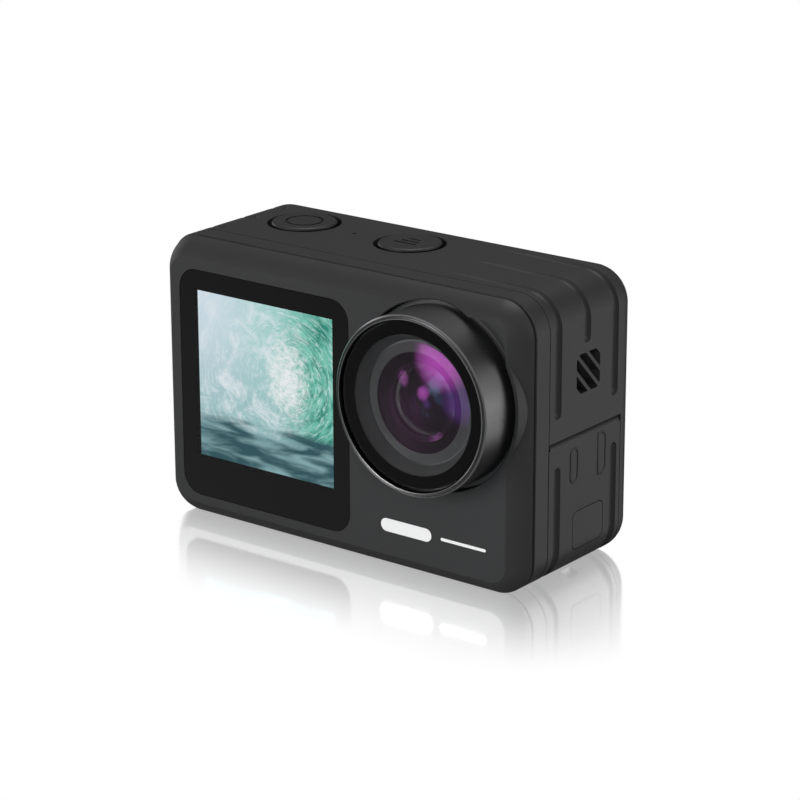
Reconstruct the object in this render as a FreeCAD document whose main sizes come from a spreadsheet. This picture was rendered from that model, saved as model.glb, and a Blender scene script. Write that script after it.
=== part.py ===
import FreeCAD, Part
import os
import re
import Sketcher

# Dual-screen action camera, millimetres. The front looks along -Y, +X is to the right when
# the front is seen, +Z is up, and the origin is under the middle of the bottom face.

doc = FreeCAD.newDocument("ActionCamera")
Vector = FreeCAD.Vector
Rotation = FreeCAD.Rotation

# ---------------------------------------------------------------- driving sizes
SIZES = [
    ("body_width", 64.0, "camera body, left to right"),
    ("body_height", 41.4, "camera body, bottom to top"),
    ("body_depth", 27.0, "flat front face to rear face"),
    ("outline_corner", 5.2, "corner radius of the body outline"),
    ("front_rounding", 5.0, "radius of the cover's rim"),
    ("front_trim", 0.61, "crown of the rim that the flat front face takes off"),
    ("rear_rounding", 3.4, "edge radius round the rear face"),
    ("shell_wall", 1.8, "wall of the housing and rim of the cover"),
    ("cover_wall", 1.6, "front wall of the cover"),
    ("seam_depth", 3.1, "front face to the middle of the seam"),
    ("seam_gap", 0.35, "open seam between cover and housing"),
    ("part_gap", 0.15, "clearance round doors, glasses and panels"),
    ("slip", 0.05, "radial clearance of a running fit"),
    ("lens_proud", 5.7, "lens front ahead of the front face"),
    ("bezel_from_right", 1.9, "lens bezel to the right side"),
    ("bezel_from_top", 2.24, "lens bezel to the top"),
    ("bezel_radius", 12.6, "outer radius of the lens bezel"),
    ("bezel_gap", 0.7, "ring gap between bezel and collar"),
    ("collar_wall", 0.6, "collar at the right of the lens bore"),
    ("notch_radius", 4.8, "finger notch beside the lens bezel"),
    ("rim_drop", 0.6, "cover rim's rounding below the bottom, which cuts it flat"),
    ("notch_reach", 1.65, "finger notch beyond the lens bore"),
    ("notch_depth", 1.3, "finger notch below the front face"),
    ("holder_radius", 10.2, "outer radius of the lens holder tube"),
    ("barrel_radius", 8.6, "outer radius of the lens barrel"),
    ("dome_radius", 8.45, "edge radius of the front lens element"),
    ("dome_edge", 0.35, "edge thickness of the front lens element"),
    ("dome_rise", 1.7, "crown of the front lens element ahead of its seat"),
    ("seat_radius", 6.95, "bore of the seat that shows through the front element"),
    ("dome_depth", 2.8, "front lens edge behind the bezel front"),
    ("stop_radius", 5.3, "bore behind the front lens element"),
    ("cover_glass_radius", 11.6, "lens cover glass"),
    ("cover_glass_thick", 0.55, "lens cover glass"),
    ("cover_glass_sink", 0.45, "cover glass behind the bezel front"),
    ("mask_radius", 9.76, "clear radius of the black glass mask"),
    ("glass_from_left", 4.1, "front screen glass to the left side"),
    ("glass_from_bottom", 3.4, "front screen glass to the bottom"),
    ("glass_from_top", 4.35, "front screen glass to the top"),
    ("glass_from_bore", 1.5, "front screen glass to the lens bore"),
    ("glass_corner", 3.0, "corner radius of the screen glasses"),
    ("glass_thick", 0.6, "screen glasses"),
    ("glass_sink", 0.05, "screen glass behind its face"),
    ("adhesive_thick", 0.1, "adhesive under the screen glasses"),
    ("front_panel_inset", 2.4, "front display inside its glass"),
    ("front_panel_low", 4.6, "lower edge of the front display inside its glass"),
    ("panel_thick", 2.0, "display panels"),
    ("rear_glass_margin", 2.9, "rear glass inside the body outline"),
    ("rear_panel_inset", 3.4, "rear display inside its glass"),
    ("shutter_from_left", 13.2, "shutter button axis to the left side"),
    ("button_pitch", 19.15, "shutter button axis to mode button axis"),
    ("button_from_rear", 10.0, "button axes to the rear face"),
    ("shutter_well", 5.4, "radius of the shutter button's well"),
    ("mode_well", 5.2, "radius of the mode button's well"),
    ("button_gap", 0.65, "ring gap round each button cap"),
    ("button_proud", 0.3, "button caps above the top"),
    ("button_travel", 0.4, "button stroke"),
    ("groove_radius", 0.89, "section radius of the grip grooves"),
    ("groove_lift", 0.39, "groove section centre outside the surface"),
    ("groove_pitch", 6.75, "distance between the grip grooves"),
    ("groove_from_front", 8.2, "front face to the first grip groove"),
    ("groove_break_top", 24.8, "grooves on the right stop at this height"),
    ("groove_break_low", 16.4, "and start again below this height"),
    ("speaker_from_rear", 11.7, "speaker grille centre to the rear face"),
    ("speaker_from_top", 12.3, "speaker grille centre to the top"),
    ("grille_side", 5.6, "side of the speaker grille"),
    ("grille_slot", 1.25, "width of a grille slot"),
    ("grille_pitch", 1.75, "distance between grille slots"),
    ("port_door_front", 6.3, "front face to the port door"),
    ("port_door_from_rear", 3.7, "port door to the rear face"),
    ("port_door_top", 20.75, "top edge of the port door"),
    ("port_door_under", 5.5, "port door's reach under the bottom corner"),
    ("port_wall", 1.4, "wall behind the port door"),
    ("port_barrel", 0.8, "hinge barrel radius of the port door"),
    ("port_pin", 0.35, "hinge pin radius of the port door"),
    ("battery_width", 26.6, "battery, left to right"),
    ("battery_thick", 7.6, "battery, front to rear"),
    ("battery_height", 28.8, "battery, bottom to top"),
    ("battery_from_left", 7.4, "battery to the left side"),
    ("battery_front", 6.2, "front face to the battery"),
    ("battery_base", 3.6, "battery above the bottom"),
    ("bay_wall", 0.6, "wall of the battery bay"),
    ("bottom_door_margin", 2.5, "battery door beyond the battery"),
    ("bottom_door_thick", 1.6, "battery door"),
    ("bottom_door_sink", 0.1, "battery door above the bottom face"),
    ("bottom_pin", 0.35, "hinge pin radius of the battery door"),
    ("board_front", 16.0, "front face to the main board"),
    ("board_thick", 1.0, "circuit boards"),
    ("spreader_front", 20.8, "front face to the heat spreader"),
    ("nut_from_right", 20.0, "tripod nut axis to the right side"),
    ("nut_from_front", 9.6, "tripod nut axis to the front face"),
    ("nut_radius", 4.75, "tripod nut"),
    ("nut_height", 5.6, "tripod nut"),
    ("nut_bore", 2.55, "tripod thread's minor radius"),
]

sheet = doc.addObject("Spreadsheet::Sheet", "Sizes")
for row, (alias, size, meaning) in enumerate(SIZES, start=1):
    sheet.set(f"A{row}", meaning)
    sheet.set(f"B{row}", str(size))
    sheet.setAlias(f"B{row}", alias)
doc.recompute()

# Places that follow from the driving sizes.
STATIONS = [
    ("half_width", "body_width / 2"),
    ("face_y", "(lens_proud - body_depth) / 2"),
    ("bezel_y", "face_y - lens_proud"),
    ("rear_y", "face_y + body_depth"),
    ("cover_back_y", "face_y + seam_depth - seam_gap / 2"),
    ("housing_front_y", "face_y + seam_depth + seam_gap / 2"),
    ("lens_x", "half_width - bezel_from_right - bezel_radius"),
    ("lens_z", "body_height - bezel_from_top - bezel_radius"),
    ("glass_left", "glass_from_left - half_width"),
    ("collar_bore", "bezel_radius + bezel_gap"),
    ("collar_radius", "collar_bore + collar_wall"),
    ("glass_right", "lens_x - collar_bore - glass_from_bore"),
    ("glass_top", "body_height - glass_from_top"),
    ("glass_back_y", "face_y + glass_sink + glass_thick"),
    ("ledge_y", "glass_back_y + adhesive_thick"),
    ("rear_glass_x", "half_width - rear_glass_margin"),
    ("rear_glass_top", "body_height - rear_glass_margin"),
    ("rear_glass_y", "rear_y - glass_sink - glass_thick"),
    ("rear_ledge_y", "rear_glass_y - adhesive_thick"),
    ("button_y", "rear_y - button_from_rear"),
    ("shutter_x", "shutter_from_left - half_width"),
    ("mode_x", "shutter_x + button_pitch"),
    ("wall_under_z", "body_height - shell_wall"),
    ("speaker_y", "rear_y - speaker_from_rear"),
    ("speaker_z", "body_height - speaker_from_top"),
    ("port_front_y", "face_y + port_door_front"),
    ("port_rear_y", "rear_y - port_door_from_rear"),
    ("port_end_x", "half_width - port_door_under"),
    ("port_hinge_x", "half_width - port_barrel"),
    ("port_hinge_z", "port_door_top - port_barrel"),
    ("port_inset", "shell_wall + part_gap"),
    ("port_back_inset", "port_inset + port_wall"),
    ("port_floor_x", "half_width - port_inset - port_wall * 0.7"),
    ("battery_left", "battery_from_left - half_width"),
    ("battery_right", "battery_left + battery_width"),
    ("battery_front_y", "face_y + battery_front"),
    ("battery_rear_y", "battery_front_y + battery_thick"),
    ("battery_top", "battery_base + battery_height"),
    ("board_y", "face_y + board_front"),
    ("board_rear_y", "board_y + board_thick"),
    ("board_top", "wall_under_z - 5.6"),
    ("bottom_left", "battery_left - bottom_door_margin"),
    ("bottom_right", "battery_right + bottom_door_margin - 0.5"),
    ("bottom_front_y", "battery_front_y - 0.9"),
    ("bottom_rear_y", "board_y + 1.4"),
    ("bottom_hinge_x", "bottom_left + bottom_door_thick / 2"),
    ("bottom_hinge_z", "bottom_door_sink + bottom_door_thick / 2"),
    ("bottom_door_top", "bottom_door_sink + bottom_door_thick"),
    ("spreader_y", "face_y + spreader_front"),
    ("nut_x", "half_width - nut_from_right"),
    ("nut_y", "face_y + nut_from_front"),
    ("cover_glass_y", "bezel_y + cover_glass_sink"),
    ("cover_glass_back_y", "cover_glass_y + cover_glass_thick"),
    ("dome_y", "bezel_y + dome_depth"),
    ("bezel_back_y", "face_y + 1.4"),
]

SIZE_NAMES = {alias for alias, size, meaning in SIZES}
STATION_NAMES = {name for name, formula in STATIONS}


def spell(text):
    """Write a formula with the full names that the document's expressions need."""
    def full_name(match):
        word = match.group()
        if word in SIZE_NAMES:
            return "Sizes." + word
        if word in STATION_NAMES:
            return "Stations." + word
        return word
    return re.sub(r"[a-z_][a-z_0-9]*", full_name, str(text))


stations = doc.addObject("App::VarSet", "Stations")
for name, formula in STATIONS:
    stations.addProperty("App::PropertyFloat", name, "Stations", formula)
for name, formula in STATIONS:
    stations.setExpression(name, spell(formula).replace("Stations.", ""))
doc.recompute()


# ---------------------------------------------------------------- drawing helpers
def value(text):
    """The number that a formula gives now, for the first drawing of a sketch."""
    return float(stations.evalExpression(spell(text)))


def place(item, x="0", y="0", z="0"):
    """Bind an object's position to three formulas."""
    for axis, text in zip("xyz", (x, y, z)):
        item.setExpression("Placement.Base." + axis, spell(text))


def turn(item, axis, angle):
    """Give an object a fixed rotation about one axis."""
    item.Placement = FreeCAD.Placement(Vector(0, 0, 0), Rotation(Vector(*axis), angle))


def box(name, x, y, z):
    """A block between two formulas along each axis."""
    item = doc.addObject("Part::Box", name)
    for side, (low, high) in (("Length", x), ("Width", y), ("Height", z)):
        item.setExpression(side, spell(f"({high}) - ({low})"))
    place(item, x[0], y[0], z[0])
    return item


def cylinder(name, axis, centre, radius, low, high):
    """A cylinder along one axis; the centre is given on the other two axes."""
    item = doc.addObject("Part::Cylinder", name)
    item.setExpression("Radius", spell(radius))
    item.setExpression("Height", spell(f"({high}) - ({low})"))
    if axis == "x":
        turn(item, (0, 1, 0), 90)
        place(item, low, centre[0], centre[1])
    elif axis == "y":
        turn(item, (1, 0, 0), -90)
        place(item, centre[0], low, centre[1])
    else:
        place(item, centre[0], centre[1], low)
    return item


def sphere(name, x, y, z, radius):
    item = doc.addObject("Part::Sphere", name)
    item.setExpression("Radius", spell(radius))
    place(item, x, y, z)
    return item


def new_sketch(body, plane_role):
    """An empty sketch on one of the body's own origin planes."""
    sketch = body.newObject("Sketcher::SketchObject", body.Name + "_sketch")
    plane = next(f for f in body.Origin.OriginFeatures if f.Role == plane_role)
    sketch.AttachmentSupport = [(plane, "")]
    sketch.MapMode = "FlatFace"
    return sketch


def pin_point(sketch, line, end, across, up):
    """Bind one end of a line to two formulas."""
    for kind, text in (("DistanceX", across), ("DistanceY", up)):
        number = sketch.addConstraint(Sketcher.Constraint(kind, line, end, value(text)))
        sketch.setExpression(f"Constraints[{number}]", spell(text))


def draw_outline(sketch, points):
    """A closed outline of straight lines through the given corners."""
    corners = [Vector(value(across), value(up), 0) for across, up in points]
    count = len(corners)
    for i in range(count):
        sketch.addGeometry(Part.LineSegment(corners[i], corners[(i + 1) % count]), False)
    for i in range(count):
        sketch.addConstraint(Sketcher.Constraint("Coincident", i, 2, (i + 1) % count, 1))
    for i, (across, up) in enumerate(points):
        pin_point(sketch, i, 1, across, up)


def draw_rounded_rectangle(sketch, across, up, corner):
    """A rectangle with round corners, lines and arcs in turn, anticlockwise."""
    left, right = value(across[0]), value(across[1])
    low, high = value(up[0]), value(up[1])
    r = value(corner)
    ends = [
        ((left + r, low), (right - r, low), (right - r, low + r), -90),
        ((right, low + r), (right, high - r), (right - r, high - r), 0),
        ((right - r, high), (left + r, high), (left + r, high - r), 90),
        ((left, high - r), (left, low + r), (left + r, low + r), 180),
    ]
    for start, end, centre, first_angle in ends:
        sketch.addGeometry(Part.LineSegment(Vector(*start, 0), Vector(*end, 0)), False)
        circle = Part.Circle(Vector(*centre, 0), Vector(0, 0, 1), r)
        first = FreeCAD.Units.Quantity(first_angle, "deg").getValueAs("rad").Value
        last = FreeCAD.Units.Quantity(first_angle + 90, "deg").getValueAs("rad").Value
        sketch.addGeometry(Part.ArcOfCircle(circle, first, last), False)
    for i in range(8):
        sketch.addConstraint(Sketcher.Constraint("Tangent", i, 2, (i + 1) % 8, 1))
    for line, kind in ((0, "Horizontal"), (2, "Vertical"), (4, "Horizontal"), (6, "Vertical")):
        sketch.addConstraint(Sketcher.Constraint(kind, line))
    for arc in (3, 5, 7):
        sketch.addConstraint(Sketcher.Constraint("Equal", 1, arc))
    number = sketch.addConstraint(Sketcher.Constraint("Radius", 1, r))
    sketch.setExpression(f"Constraints[{number}]", spell(corner))
    sides = (("DistanceY", 0, up[0]), ("DistanceX", 2, across[1]),
             ("DistanceY", 4, up[1]), ("DistanceX", 6, across[0]))
    for kind, line, text in sides:
        number = sketch.addConstraint(Sketcher.Constraint(kind, line, 1, value(text)))
        sketch.setExpression(f"Constraints[{number}]", spell(text))


PAD_PLANES = {"x": "YZ_Plane", "y": "XZ_Plane", "z": "XY_Plane"}


def pad(body, sketch, axis, low, high):
    """Pad a sketch towards the positive side of an axis, from one formula to another."""
    feature = body.newObject("PartDesign::Pad", body.Name + "_pad")
    feature.Profile = sketch
    feature.Reversed = axis == "y"
    feature.setExpression("Length", spell(f"({high}) - ({low})"))
    body.setExpression("Placement.Base." + axis, spell(low))
    return feature


def plate(name, axis, across, up, thick, corner):
    """A rounded plate; across and up are the sketch's two directions."""
    body = doc.addObject("PartDesign::Body", name)
    sketch = new_sketch(body, PAD_PLANES[axis])
    draw_rounded_rectangle(sketch, across, up, corner)
    pad(body, sketch, axis, *thick)
    return body


def outline_plate(name, axis, points, thick):
    """A plate with a straight-sided outline."""
    body = doc.addObject("PartDesign::Body", name)
    sketch = new_sketch(body, PAD_PLANES[axis])
    draw_outline(sketch, points)
    pad(body, sketch, axis, *thick)
    return body


def turned(name, axis, centre, points):
    """A turned piece: points give radius and height, and the axis is Y or Z."""
    body = doc.addObject("PartDesign::Body", name)
    sketch = new_sketch(body, "XY_Plane" if axis == "y" else "XZ_Plane")
    draw_outline(sketch, points)
    feature = body.newObject("PartDesign::Revolution", name + "_turn")
    feature.Profile = sketch
    feature.ReferenceAxis = (sketch, ["V_Axis"])
    feature.Angle = 360
    if axis == "y":
        place(body, centre[0], "0", centre[1])
    else:
        place(body, centre[0], centre[1], "0")
    return body


def ring(name, axis, centre, inner, outer, low, high):
    """A flat turned ring."""
    return turned(name, axis, centre, [(inner, low), (outer, low), (outer, high), (inner, high)])


def join(name, *items):
    item = doc.addObject("Part::MultiFuse", name)
    item.Shapes = list(items)
    item.Refine = True
    return item


def cut(name, base, *tools):
    item = doc.addObject("Part::Cut", name)
    item.Base = base
    item.Tool = tools[0] if len(tools) == 1 else join(name + "_tools", *tools)
    item.Refine = True
    return item


def common(name, first, second):
    item = doc.addObject("Part::Common", name)
    item.Base = first
    item.Tool = second
    item.Refine = True
    return item


nodes = []


def node(item, label=None):
    """Count an object as one sub-part; its label names its file."""
    item.Label = label or item.Name
    nodes.append(item)
    return item


LENS = ("lens_x", "lens_z")


def body_outline(name, inset, thick):
    """The camera's outline, drawn in by an inset, as a plate along Y."""
    return plate(name, "y", (f"{inset} - half_width", f"half_width - {inset}"),
                 (inset, f"body_height - {inset}"), thick, f"outline_corner - {inset}")


def round_edges(body, plane_y, radius):
    """Fillet the rim of a body's last feature that lies in one plane across Y."""
    doc.recompute()
    base = body.Tip
    level = value(plane_y) - body.Placement.Base.y
    names = []
    for number, edge in enumerate(base.Shape.Edges, start=1):
        if abs(edge.BoundBox.YMin - level) < 1e-6 and abs(edge.BoundBox.YMax - level) < 1e-6:
            names.append(f"Edge{number}")
    fillet = body.newObject("PartDesign::Fillet", body.Name + "_round")
    fillet.Base = (base, names)
    fillet.setExpression("Radius", spell(radius))
    return fillet


# ---------------------------------------------------------------- shell form and grip grooves
shell_form = body_outline("shell_form", "0", ("housing_front_y", "rear_y"))
round_edges(shell_form, "rear_y", "rear_rounding")

corner_turns = {"top_right": 0, "top_left": 90, "bottom_left": 180, "bottom_right": -90}


def corner_place(side):
    """The centre of one outline corner, as formulas for X and Z."""
    x = "half_width - outline_corner" if "right" in side else "outline_corner - half_width"
    z = "body_height - outline_corner" if "top" in side else "outline_corner"
    return x, z


def groove_pieces(number):
    """Cutters for one grip groove that runs round the body's sides and corners."""
    y = f"face_y + groove_from_front + {number} * groove_pitch"
    tag = f"groove_{number + 1}_"
    pieces = []
    for side, angle in corner_turns.items():
        torus = doc.addObject("Part::Torus", tag + side)
        torus.setExpression("Radius1", spell("outline_corner + groove_lift"))
        torus.setExpression("Radius2", spell("groove_radius"))
        torus.Angle3 = 90
        torus.Placement = FreeCAD.Placement(
            Vector(0, 0, 0),
            Rotation(Vector(1, 0, 0), 90) * Rotation(Vector(0, 0, 1), angle))
        x, z = corner_place(side)
        place(torus, x, y, z)
        pieces.append(torus)
        end_z = "body_height + groove_lift" if "top" in side else "-groove_lift"
        if side != "top_right":
            pieces.append(sphere(tag + side + "_end", x, y, end_z, "groove_radius"))
    right, left = "half_width + groove_lift", "-half_width - groove_lift"
    upper_stop = "groove_break_top" if number != 1 else "body_height - 7.4"
    runs = [("right_top", right, upper_stop, "body_height - outline_corner"),
            ("left", left, "outline_corner", "body_height - outline_corner")]
    if number != 1:
        runs.append(("right_low", right, "outline_corner", "groove_break_low"))
    for word, x, low, high in runs:
        pieces.append(cylinder(tag + word, "z", (x, y), "groove_radius", low, high))
    pieces.append(sphere(tag + "stop_top", right, y, upper_stop, "groove_radius"))
    if number != 1:
        pieces.append(sphere(tag + "stop_low", right, y, "groove_break_low", "groove_radius"))
    else:
        pieces = [p for p in pieces if "bottom_right" not in p.Name]
    fade = doc.addObject("Part::Cylinder", tag + "fade")
    fade.setExpression("Radius", spell("groove_radius"))
    fade.setExpression("Height", spell("half_width * 0.46"))
    turn(fade, (0, -1, 0), 88.06)
    # It starts a little way round the corner, so that no thin web is left between the two cuts.
    place(fade, corner_place("top_right")[0] + " + 0.3", y, "body_height + groove_lift")
    pieces.append(fade)
    return pieces


groove_cutters = []
for number in range(3):
    groove_cutters += groove_pieces(number)
step_line = cut("step_line",
                body_outline("step_line_outer", "-1.0", ("port_front_y - 0.2", "port_front_y")),
                body_outline("step_line_inner", "0.06", ("port_front_y - 1", "port_front_y + 1")))
grooved_form = cut("grooved_form", shell_form, step_line, *groove_cutters)

# ---------------------------------------------------------------- port door zone
PORT_YZ = (("port_front_y", "port_rear_y"), ("-2", "port_door_top"))
port_zone = plate("port_zone", "x", *PORT_YZ, ("port_end_x", "half_width + 1"), "0.8")
port_pocket_zone = plate(
    "port_pocket_zone", "x",
    ("port_front_y - part_gap", "port_rear_y + part_gap"), ("-2 - part_gap", "port_door_top + part_gap"),
    ("port_end_x - part_gap", "half_width + 1"), "0.8 + part_gap")
port_core = body_outline("port_core", "port_inset", ("face_y", "rear_y - shell_wall"))
# The pocket is square at the hinge end, where the leaf's own end turns.
port_hinge_room = box("port_hinge_room", ("port_hinge_x", "half_width + 1"),
                      ("port_front_y - part_gap", "port_rear_y + part_gap"),
                      ("port_hinge_z", "port_door_top + part_gap"))
port_pocket = join("port_pocket", cut("port_pocket_bend", port_pocket_zone, port_core), port_hinge_room)
port_block = box("port_block", ("port_end_x - 1.6", "half_width + 1"),
                 ("port_front_y - 1.6", "port_rear_y + 1.6"), ("-1", "port_door_top + 1.6"))

# ---------------------------------------------------------------- main housing
cavity = body_outline("cavity", "shell_wall", ("face_y", "rear_y - shell_wall"))
inner_core = body_outline("inner_core", "port_back_inset", ("face_y", "rear_y - shell_wall"))
hollow = join("hollow", cut("cavity_less_ports", cavity, port_block), inner_core)
housing_shell = cut("housing_shell", grooved_form, hollow)

LEDGE_X = ("bottom_left - 0.9", "bottom_right + 0.9")
LEDGE_Y = ("bottom_front_y - 0.9", "bottom_rear_y + 0.9")
MOUTH_X = ("battery_left - 0.4", "battery_right + 0.4")
MOUTH_Y = ("battery_front_y - 0.4", "board_y + 0.1")
battery_ledge = box("battery_ledge", LEDGE_X, LEDGE_Y, ("0.5", "3.2"))
nut_boss = cylinder("nut_boss", "z", ("nut_x", "nut_y"), "nut_radius + 1.4", "0.5", "nut_height")
housing_solid = join("housing_solid", housing_shell, battery_ledge, nut_boss)

battery_mouth = plate("battery_mouth", "z", MOUTH_X, MOUTH_Y, ("-1", "4"), "1")
BOTTOM_CORNER = "0.9"
bottom_pocket = plate(
    "bottom_pocket", "z", ("bottom_left - part_gap", "bottom_right + part_gap"),
    ("bottom_front_y - part_gap", "bottom_rear_y + part_gap"),
    ("-1", "bottom_door_top + 0.1"), BOTTOM_CORNER + " + part_gap")
bottom_hinge_room = box("bottom_hinge_room", ("bottom_left - part_gap", "bottom_hinge_x"),
                        ("bottom_front_y - part_gap", "bottom_rear_y + part_gap"),
                        ("-1", "bottom_door_top + 0.1"))
nut_hole = cylinder("nut_hole", "z", ("nut_x", "nut_y"), "nut_radius", "-1", "nut_height + 1")
shutter_hole = cylinder("shutter_hole", "z", ("shutter_x", "button_y"), "shutter_well",
                        "wall_under_z - 1", "body_height + 1")
mode_hole = cylinder("mode_hole", "z", ("mode_x", "button_y"), "mode_well",
                     "wall_under_z - 1", "body_height + 1")
mic_hole = cylinder("mic_hole", "z", ("(shutter_x + mode_x) / 2", "button_y - 0.4"), "0.4",
                    "wall_under_z - 1", "body_height + 1")
port_pin_hole = cylinder("port_pin_hole", "y", ("port_hinge_x", "port_hinge_z"), "port_pin",
                         "port_front_y - 1.3", "port_rear_y + 1.3")
port_barrel_room = cylinder("port_barrel_room", "y", ("port_hinge_x", "port_hinge_z"),
                            "port_barrel + part_gap", "port_front_y - part_gap",
                            "port_rear_y + part_gap")
bottom_pin_hole = cylinder("bottom_pin_hole", "y", ("bottom_hinge_x", "bottom_hinge_z"),
                           "bottom_pin", "bottom_front_y - 1.3", "bottom_rear_y + 1.3")

# The ports sit in a shallow recess behind the door, inside the door's seal.
SOCKET_Z = "port_hinge_z - 7.0"
RECESS_Y = ("board_y - 4.4", "board_rear_y + 4.2")
port_recess = plate("port_recess", "x", RECESS_Y, (SOCKET_Z + " - 5.4", SOCKET_Z + " + 5.4"),
                    ("port_floor_x", "half_width"), "1")
USB_Y = ("board_y - 3.2", "board_y")
USB_Z = (SOCKET_Z + " - 4.47", SOCKET_Z + " + 4.47")
VIDEO_Y = ("board_rear_y", "board_rear_y + 2.9")
VIDEO_Z = (SOCKET_Z + " - 3.2", SOCKET_Z + " + 3.2")
usb_hole = plate("usb_hole", "x", USB_Y, USB_Z, ("port_floor_x - 4", "half_width"), "1.3")
video_hole = plate("video_hole", "x", VIDEO_Y, VIDEO_Z, ("port_floor_x - 4", "half_width"), "0.6")


def grille_slot(number):
    """One slanted strip of the speaker grille; it runs down towards the rear."""
    offset = f"({number} - 1.5) * grille_pitch"
    strip = doc.addObject("Part::Box", f"grille_strip_{number + 1}")
    strip.setExpression("Length", spell("shell_wall + 2"))
    strip.setExpression("Width", spell("grille_side * 2"))
    strip.setExpression("Height", spell("grille_slot"))
    turn(strip, (1, 0, 0), -45)
    place(strip, "half_width - shell_wall - 1",
          f"speaker_y + ({offset} - grille_slot / 2 - grille_side) * cos(45)",
          f"speaker_z + ({offset} - grille_slot / 2 + grille_side) * cos(45)")
    return strip


def grille_area(name, inset):
    """The rounded square that the speaker grille fills, drawn in by an inset."""
    side = f"(grille_side / 2 - {inset})"
    return plate(name, "x", (f"speaker_y - {side}", f"speaker_y + {side}"),
                 (f"speaker_z - {side}", f"speaker_z + {side}"),
                 ("half_width - shell_wall - 1", "half_width + 1"), "1.1")


speaker_slots = common("speaker_slots", grille_area("grille_area", "0"),
                       join("grille_strips", *[grille_slot(i) for i in range(4)]))

rear_glass_recess = plate(
    "rear_glass_recess", "y", ("-rear_glass_x - part_gap", "rear_glass_x + part_gap"),
    ("rear_glass_margin - part_gap", "rear_glass_top + part_gap"),
    ("rear_ledge_y", "rear_y + 1"), "glass_corner + part_gap")
REAR_PANEL_X = ("rear_panel_inset - rear_glass_x", "rear_glass_x - rear_panel_inset")
REAR_PANEL_Z = ("rear_glass_margin + rear_panel_inset", "rear_glass_top - rear_panel_inset")


def grown(span, gap):
    """A pair of formulas, moved apart by a gap at both ends."""
    return f"{span[0]} - {gap}", f"{span[1]} + {gap}"


rear_window = plate("rear_window", "y", grown(REAR_PANEL_X, "part_gap"),
                    grown(REAR_PANEL_Z, "part_gap"), ("rear_y - 4", "rear_y + 1"), "0.6")

node(cut("main_housing", housing_solid, port_pocket, battery_mouth, bottom_pocket,
         bottom_hinge_room, nut_hole,
         shutter_hole, mode_hole, mic_hole, port_pin_hole, port_barrel_room, bottom_pin_hole,
         port_recess, usb_hole, video_hole, speaker_slots, rear_glass_recess, rear_window))

# ---------------------------------------------------------------- front cover
# The rim is one large rounding. The flat face cuts its crown off and so has a crisp border, and
# the flat bottom cuts it too.
cover_blank = plate("cover_blank", "y", ("-half_width", "half_width"), ("-rim_drop", "body_height"),
                    ("face_y - front_trim", "face_y + front_rounding"), "outline_corner")
round_edges(cover_blank, "face_y - front_trim", "front_rounding")
cover_form = common("cover_form", cover_blank,
                    body_outline("cover_limit", "0", ("face_y", "cover_back_y")))
# The collar keeps the lens bore's edge level where the rim falls away beside it.
collar = common("collar", cylinder("collar_tube", "y", LENS, "collar_radius", "face_y", "cover_back_y"),
                box("collar_side", ("lens_x + collar_radius / 2", "half_width"),
                        ("face_y", "cover_back_y"), ("0", "body_height")))
NOTCH_OUT = "(collar_bore + notch_reach - notch_radius)"
notch = cylinder("finger_notch", "y", (f"lens_x + {NOTCH_OUT} * cos(47)", f"lens_z + {NOTCH_OUT} * sin(47)"),
                 "notch_radius", "face_y - 1", "face_y + notch_depth")
cover_hollow = body_outline("cover_hollow", "shell_wall", ("face_y + cover_wall", "rear_y"))
cover_tray = cut("cover_tray", cover_form, cover_hollow)
collar_hole = cylinder("collar_hole", "y", LENS, "collar_bore", "face_y - 1", "cover_back_y + 1")
FRONT_GLASS_X = ("glass_left", "glass_right")
FRONT_GLASS_Z = ("glass_from_bottom", "glass_top")
front_recess = plate("front_recess", "y", grown(FRONT_GLASS_X, "0.1"), grown(FRONT_GLASS_Z, "0.1"),
                     ("face_y - 1", "ledge_y"), "glass_corner + 0.1")
FRONT_PANEL_X = ("glass_left + front_panel_inset", "glass_right - front_panel_inset")
FRONT_PANEL_Z = ("glass_from_bottom + front_panel_low", "glass_top - front_panel_inset")
front_window = plate("front_window", "y", grown(FRONT_PANEL_X, "part_gap"),
                     grown(FRONT_PANEL_Z, "part_gap"), ("face_y - 1", "face_y + 3"), "0.6")
node(cut("front_cover", join("cover_with_collar", cover_tray, collar),
         collar_hole, notch, front_recess, front_window))

node(cut("cover_gasket",
         body_outline("gasket_outer", "0.6", ("cover_back_y", "housing_front_y")),
         body_outline("gasket_inner", "shell_wall - 0.2", ("face_y", "rear_y"))))

# ---------------------------------------------------------------- screens
node(plate("front_screen_glass", "y", FRONT_GLASS_X, FRONT_GLASS_Z,
           ("face_y + glass_sink", "glass_back_y"), "glass_corner"))
front_adhesive_form = plate("front_adhesive_form", "y", grown(FRONT_GLASS_X, "-0.3"),
                            grown(FRONT_GLASS_Z, "-0.3"), ("glass_back_y", "ledge_y"),
                            "glass_corner - 0.3")
node(cut("front_screen_adhesive", front_adhesive_form, front_window))
node(plate("front_display", "y", FRONT_PANEL_X, FRONT_PANEL_Z,
           ("glass_back_y", "glass_back_y + panel_thick"), "0.5"))
node(box("front_display_flex", ("glass_left + 8", "glass_left + 16"),
         ("glass_back_y + panel_thick", "glass_back_y + panel_thick + 0.15"),
         ("glass_from_bottom + 2", "glass_top - 12")))

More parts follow.
